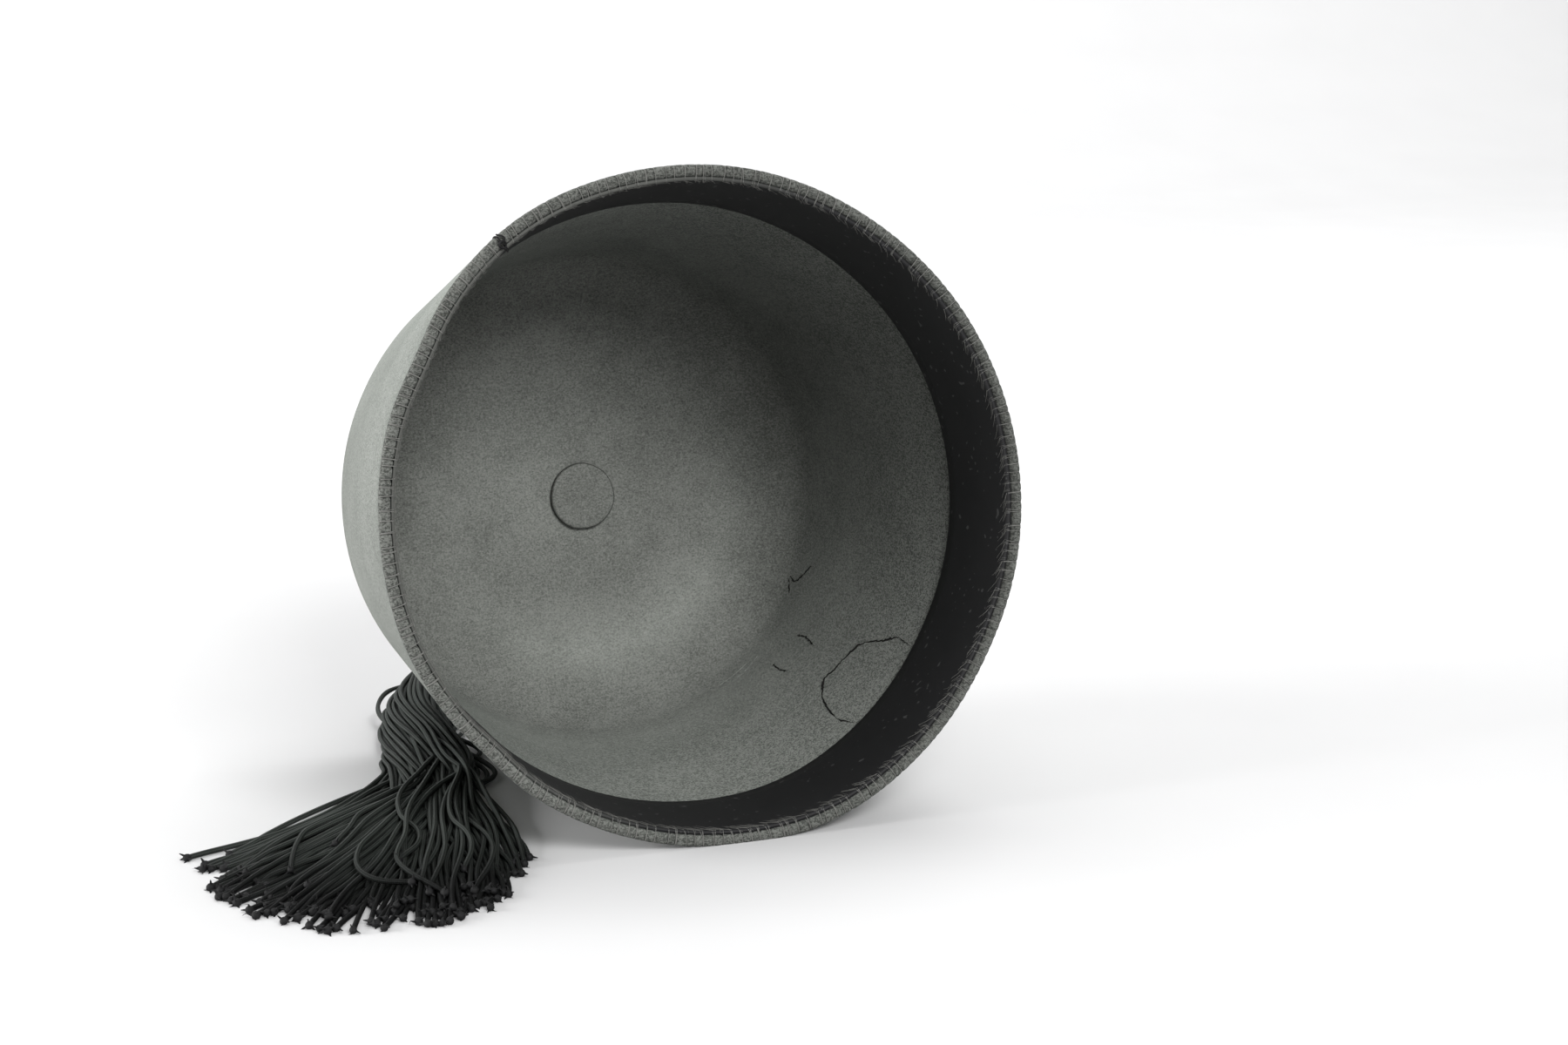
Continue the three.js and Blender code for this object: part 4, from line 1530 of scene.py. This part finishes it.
def make_head_arcs():
    radii, places = head_outline(STRAND_RADIUS, 10)
    radii, places = np.array(radii), np.array(places)
    radii[0] = ARCS_START_RADIUS
    routes, widths = [], []
    for k in range(HEAD_ARCS):
        turn = 2 * math.pi * k / HEAD_ARCS + 0.25 * np.linspace(0, 1, len(radii))
        routes.append(through(head_points(radii, places, turn), ARC_POINTS))
        widths.append(np.clip(0.3 + np.linspace(0, 1, ARC_POINTS) * 2.2, 0, 1))
    piece = tube_piece("head_arcs", routes, STRAND_RADIUS, 1, widths)
    measured_uv(piece, routes, sides=6)
    finish_piece(piece, strand_braid)
    return piece


def make_binding():
    turn = np.linspace(0, 2 * math.pi * BINDING_TURNS, 28 * BINDING_TURNS)
    half = HEAD_LENGTH / 2
    place = np.linspace(0.22 * half, 0.72 * half, len(turn))
    radius = np.full(len(turn), HEAD_RADIUS - BINDING_DEPTH + BINDING_RADIUS * 0.8)
    route = head_points(radius, place, turn)
    piece = tube_piece("neck_binding", [route], BINDING_RADIUS * 1.05, 1)
    finish_piece(piece, black_thread)
    return piece


head_core = make_head_core()
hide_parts("tassel")
head_arcs = make_head_arcs()
neck_binding = make_binding()

# %% [markdown]
# ## The floor and the light
#
# The photograph was taken on a white sheet that curves up behind the hat, in very even light. Three large
# soft lights give it: one in front looks into the hat, one stands above on the right, and one low on the
# left brushes the outside. A fourth lights the sheet behind, and a bright world fills the shadows. The
# sheet is a plane whose far edge is extruded upwards in a quarter turn.

# %% Floor
FLOOR_WIDTH = 8
FLOOR_DEPTH = 3.4
FLOOR_SHIFT = -0.3
SWEEP_RADIUS = 0.9
SWEEP_STEPS = 12
BACKDROP_HEIGHT = 3
SHEET_DARK = (0.54, 0.54, 0.543, 1)
SHEET_PALE = (0.57, 0.57, 0.572, 1)


def make_floor():
    nothing_selected()
    bpy.ops.mesh.primitive_plane_add(size=1, location=(0, 0, 0))
    piece = bpy.context.active_object
    piece.name = "floor_sheet"
    points = coordinates(piece)
    points[:, 0] *= FLOOR_WIDTH
    points[:, 1] = points[:, 1] * FLOOR_DEPTH + FLOOR_SHIFT
    move_vertices(piece, points)
    bpy.ops.object.mode_set(mode="EDIT")
    bpy.ops.mesh.select_mode(type="EDGE")
    bpy.ops.mesh.select_all(action="DESELECT")
    bpy.ops.object.mode_set(mode="OBJECT")
    for edge in piece.data.edges:
        ends = [piece.data.vertices[v].co.y for v in edge.vertices]
        edge.select = min(ends) > FLOOR_SHIFT
    bpy.ops.object.mode_set(mode="EDIT")
    turned = 0
    for step in range(1, SWEEP_STEPS + 1):
        turn = math.radians(90 * step / SWEEP_STEPS)
        back = SWEEP_RADIUS * (math.sin(turn) - math.sin(turned))
        up = SWEEP_RADIUS * (math.cos(turned) - math.cos(turn))
        bpy.ops.mesh.extrude_region_move(TRANSFORM_OT_translate={"value": (0, back, up)})
        turned = turn
    bpy.ops.mesh.extrude_region_move(TRANSFORM_OT_translate={"value": (0, 0, BACKDROP_HEIGHT)})
    bpy.ops.object.mode_set(mode="OBJECT")
    bpy.ops.object.shade_smooth()
    finish = Finish("white_sheet")
    cloud = finish.noise(finish.place(), 90 * MM, detail=2)
    finish.set(Base_Color=finish.blend(cloud, SHEET_DARK, SHEET_PALE))
    finish.set(Roughness=0.9, Specular_IOR_Level=0.1)
    piece.data.materials.append(finish.material)


make_floor()


# %% Lights
WORLD_STRENGTH = 0.48


def soft_light(name, place, target, width, height, power):
    lamp = bpy.data.lights.new(name, "AREA")
    lamp.shape = "RECTANGLE"
    lamp.size = width
    lamp.size_y = height
    lamp.energy = power
    light = bpy.data.objects.new(name, lamp)
    light.location = place
    towards = Vector(target) - Vector(place)
    light.rotation_euler = towards.to_track_quat("-Z", "Y").to_euler()
    bpy.context.scene.collection.objects.link(light)


soft_light("front_light", (0.1, -2.1, 1.5), (0, 0, 0.1), width=1.2, height=0.9, power=60)
soft_light("top_light", (0.95, 0.55, 2.1), (0, 0, 0.1), width=1.3, height=1.1, power=26)
soft_light("left_window", (-2.1, 0.35, 0.6), (-0.05, 0, 0.1), width=1.2, height=0.9, power=60)
soft_light("backdrop_light", (0.7, 0.9, 2.4), (1.0, 2.6, 0.7), width=4.2, height=0.9, power=56)

world = bpy.data.worlds.new("even_light")
world.use_nodes = True
sky = world.node_tree.nodes["Background"]
sky.inputs["Color"].default_value = (1, 1, 1, 1)
sky.inputs["Strength"].default_value = WORLD_STRENGTH
bpy.context.scene.world = world
bpy.context.scene.view_settings.view_transform = "Standard"
bpy.context.scene.view_settings.look = "None"
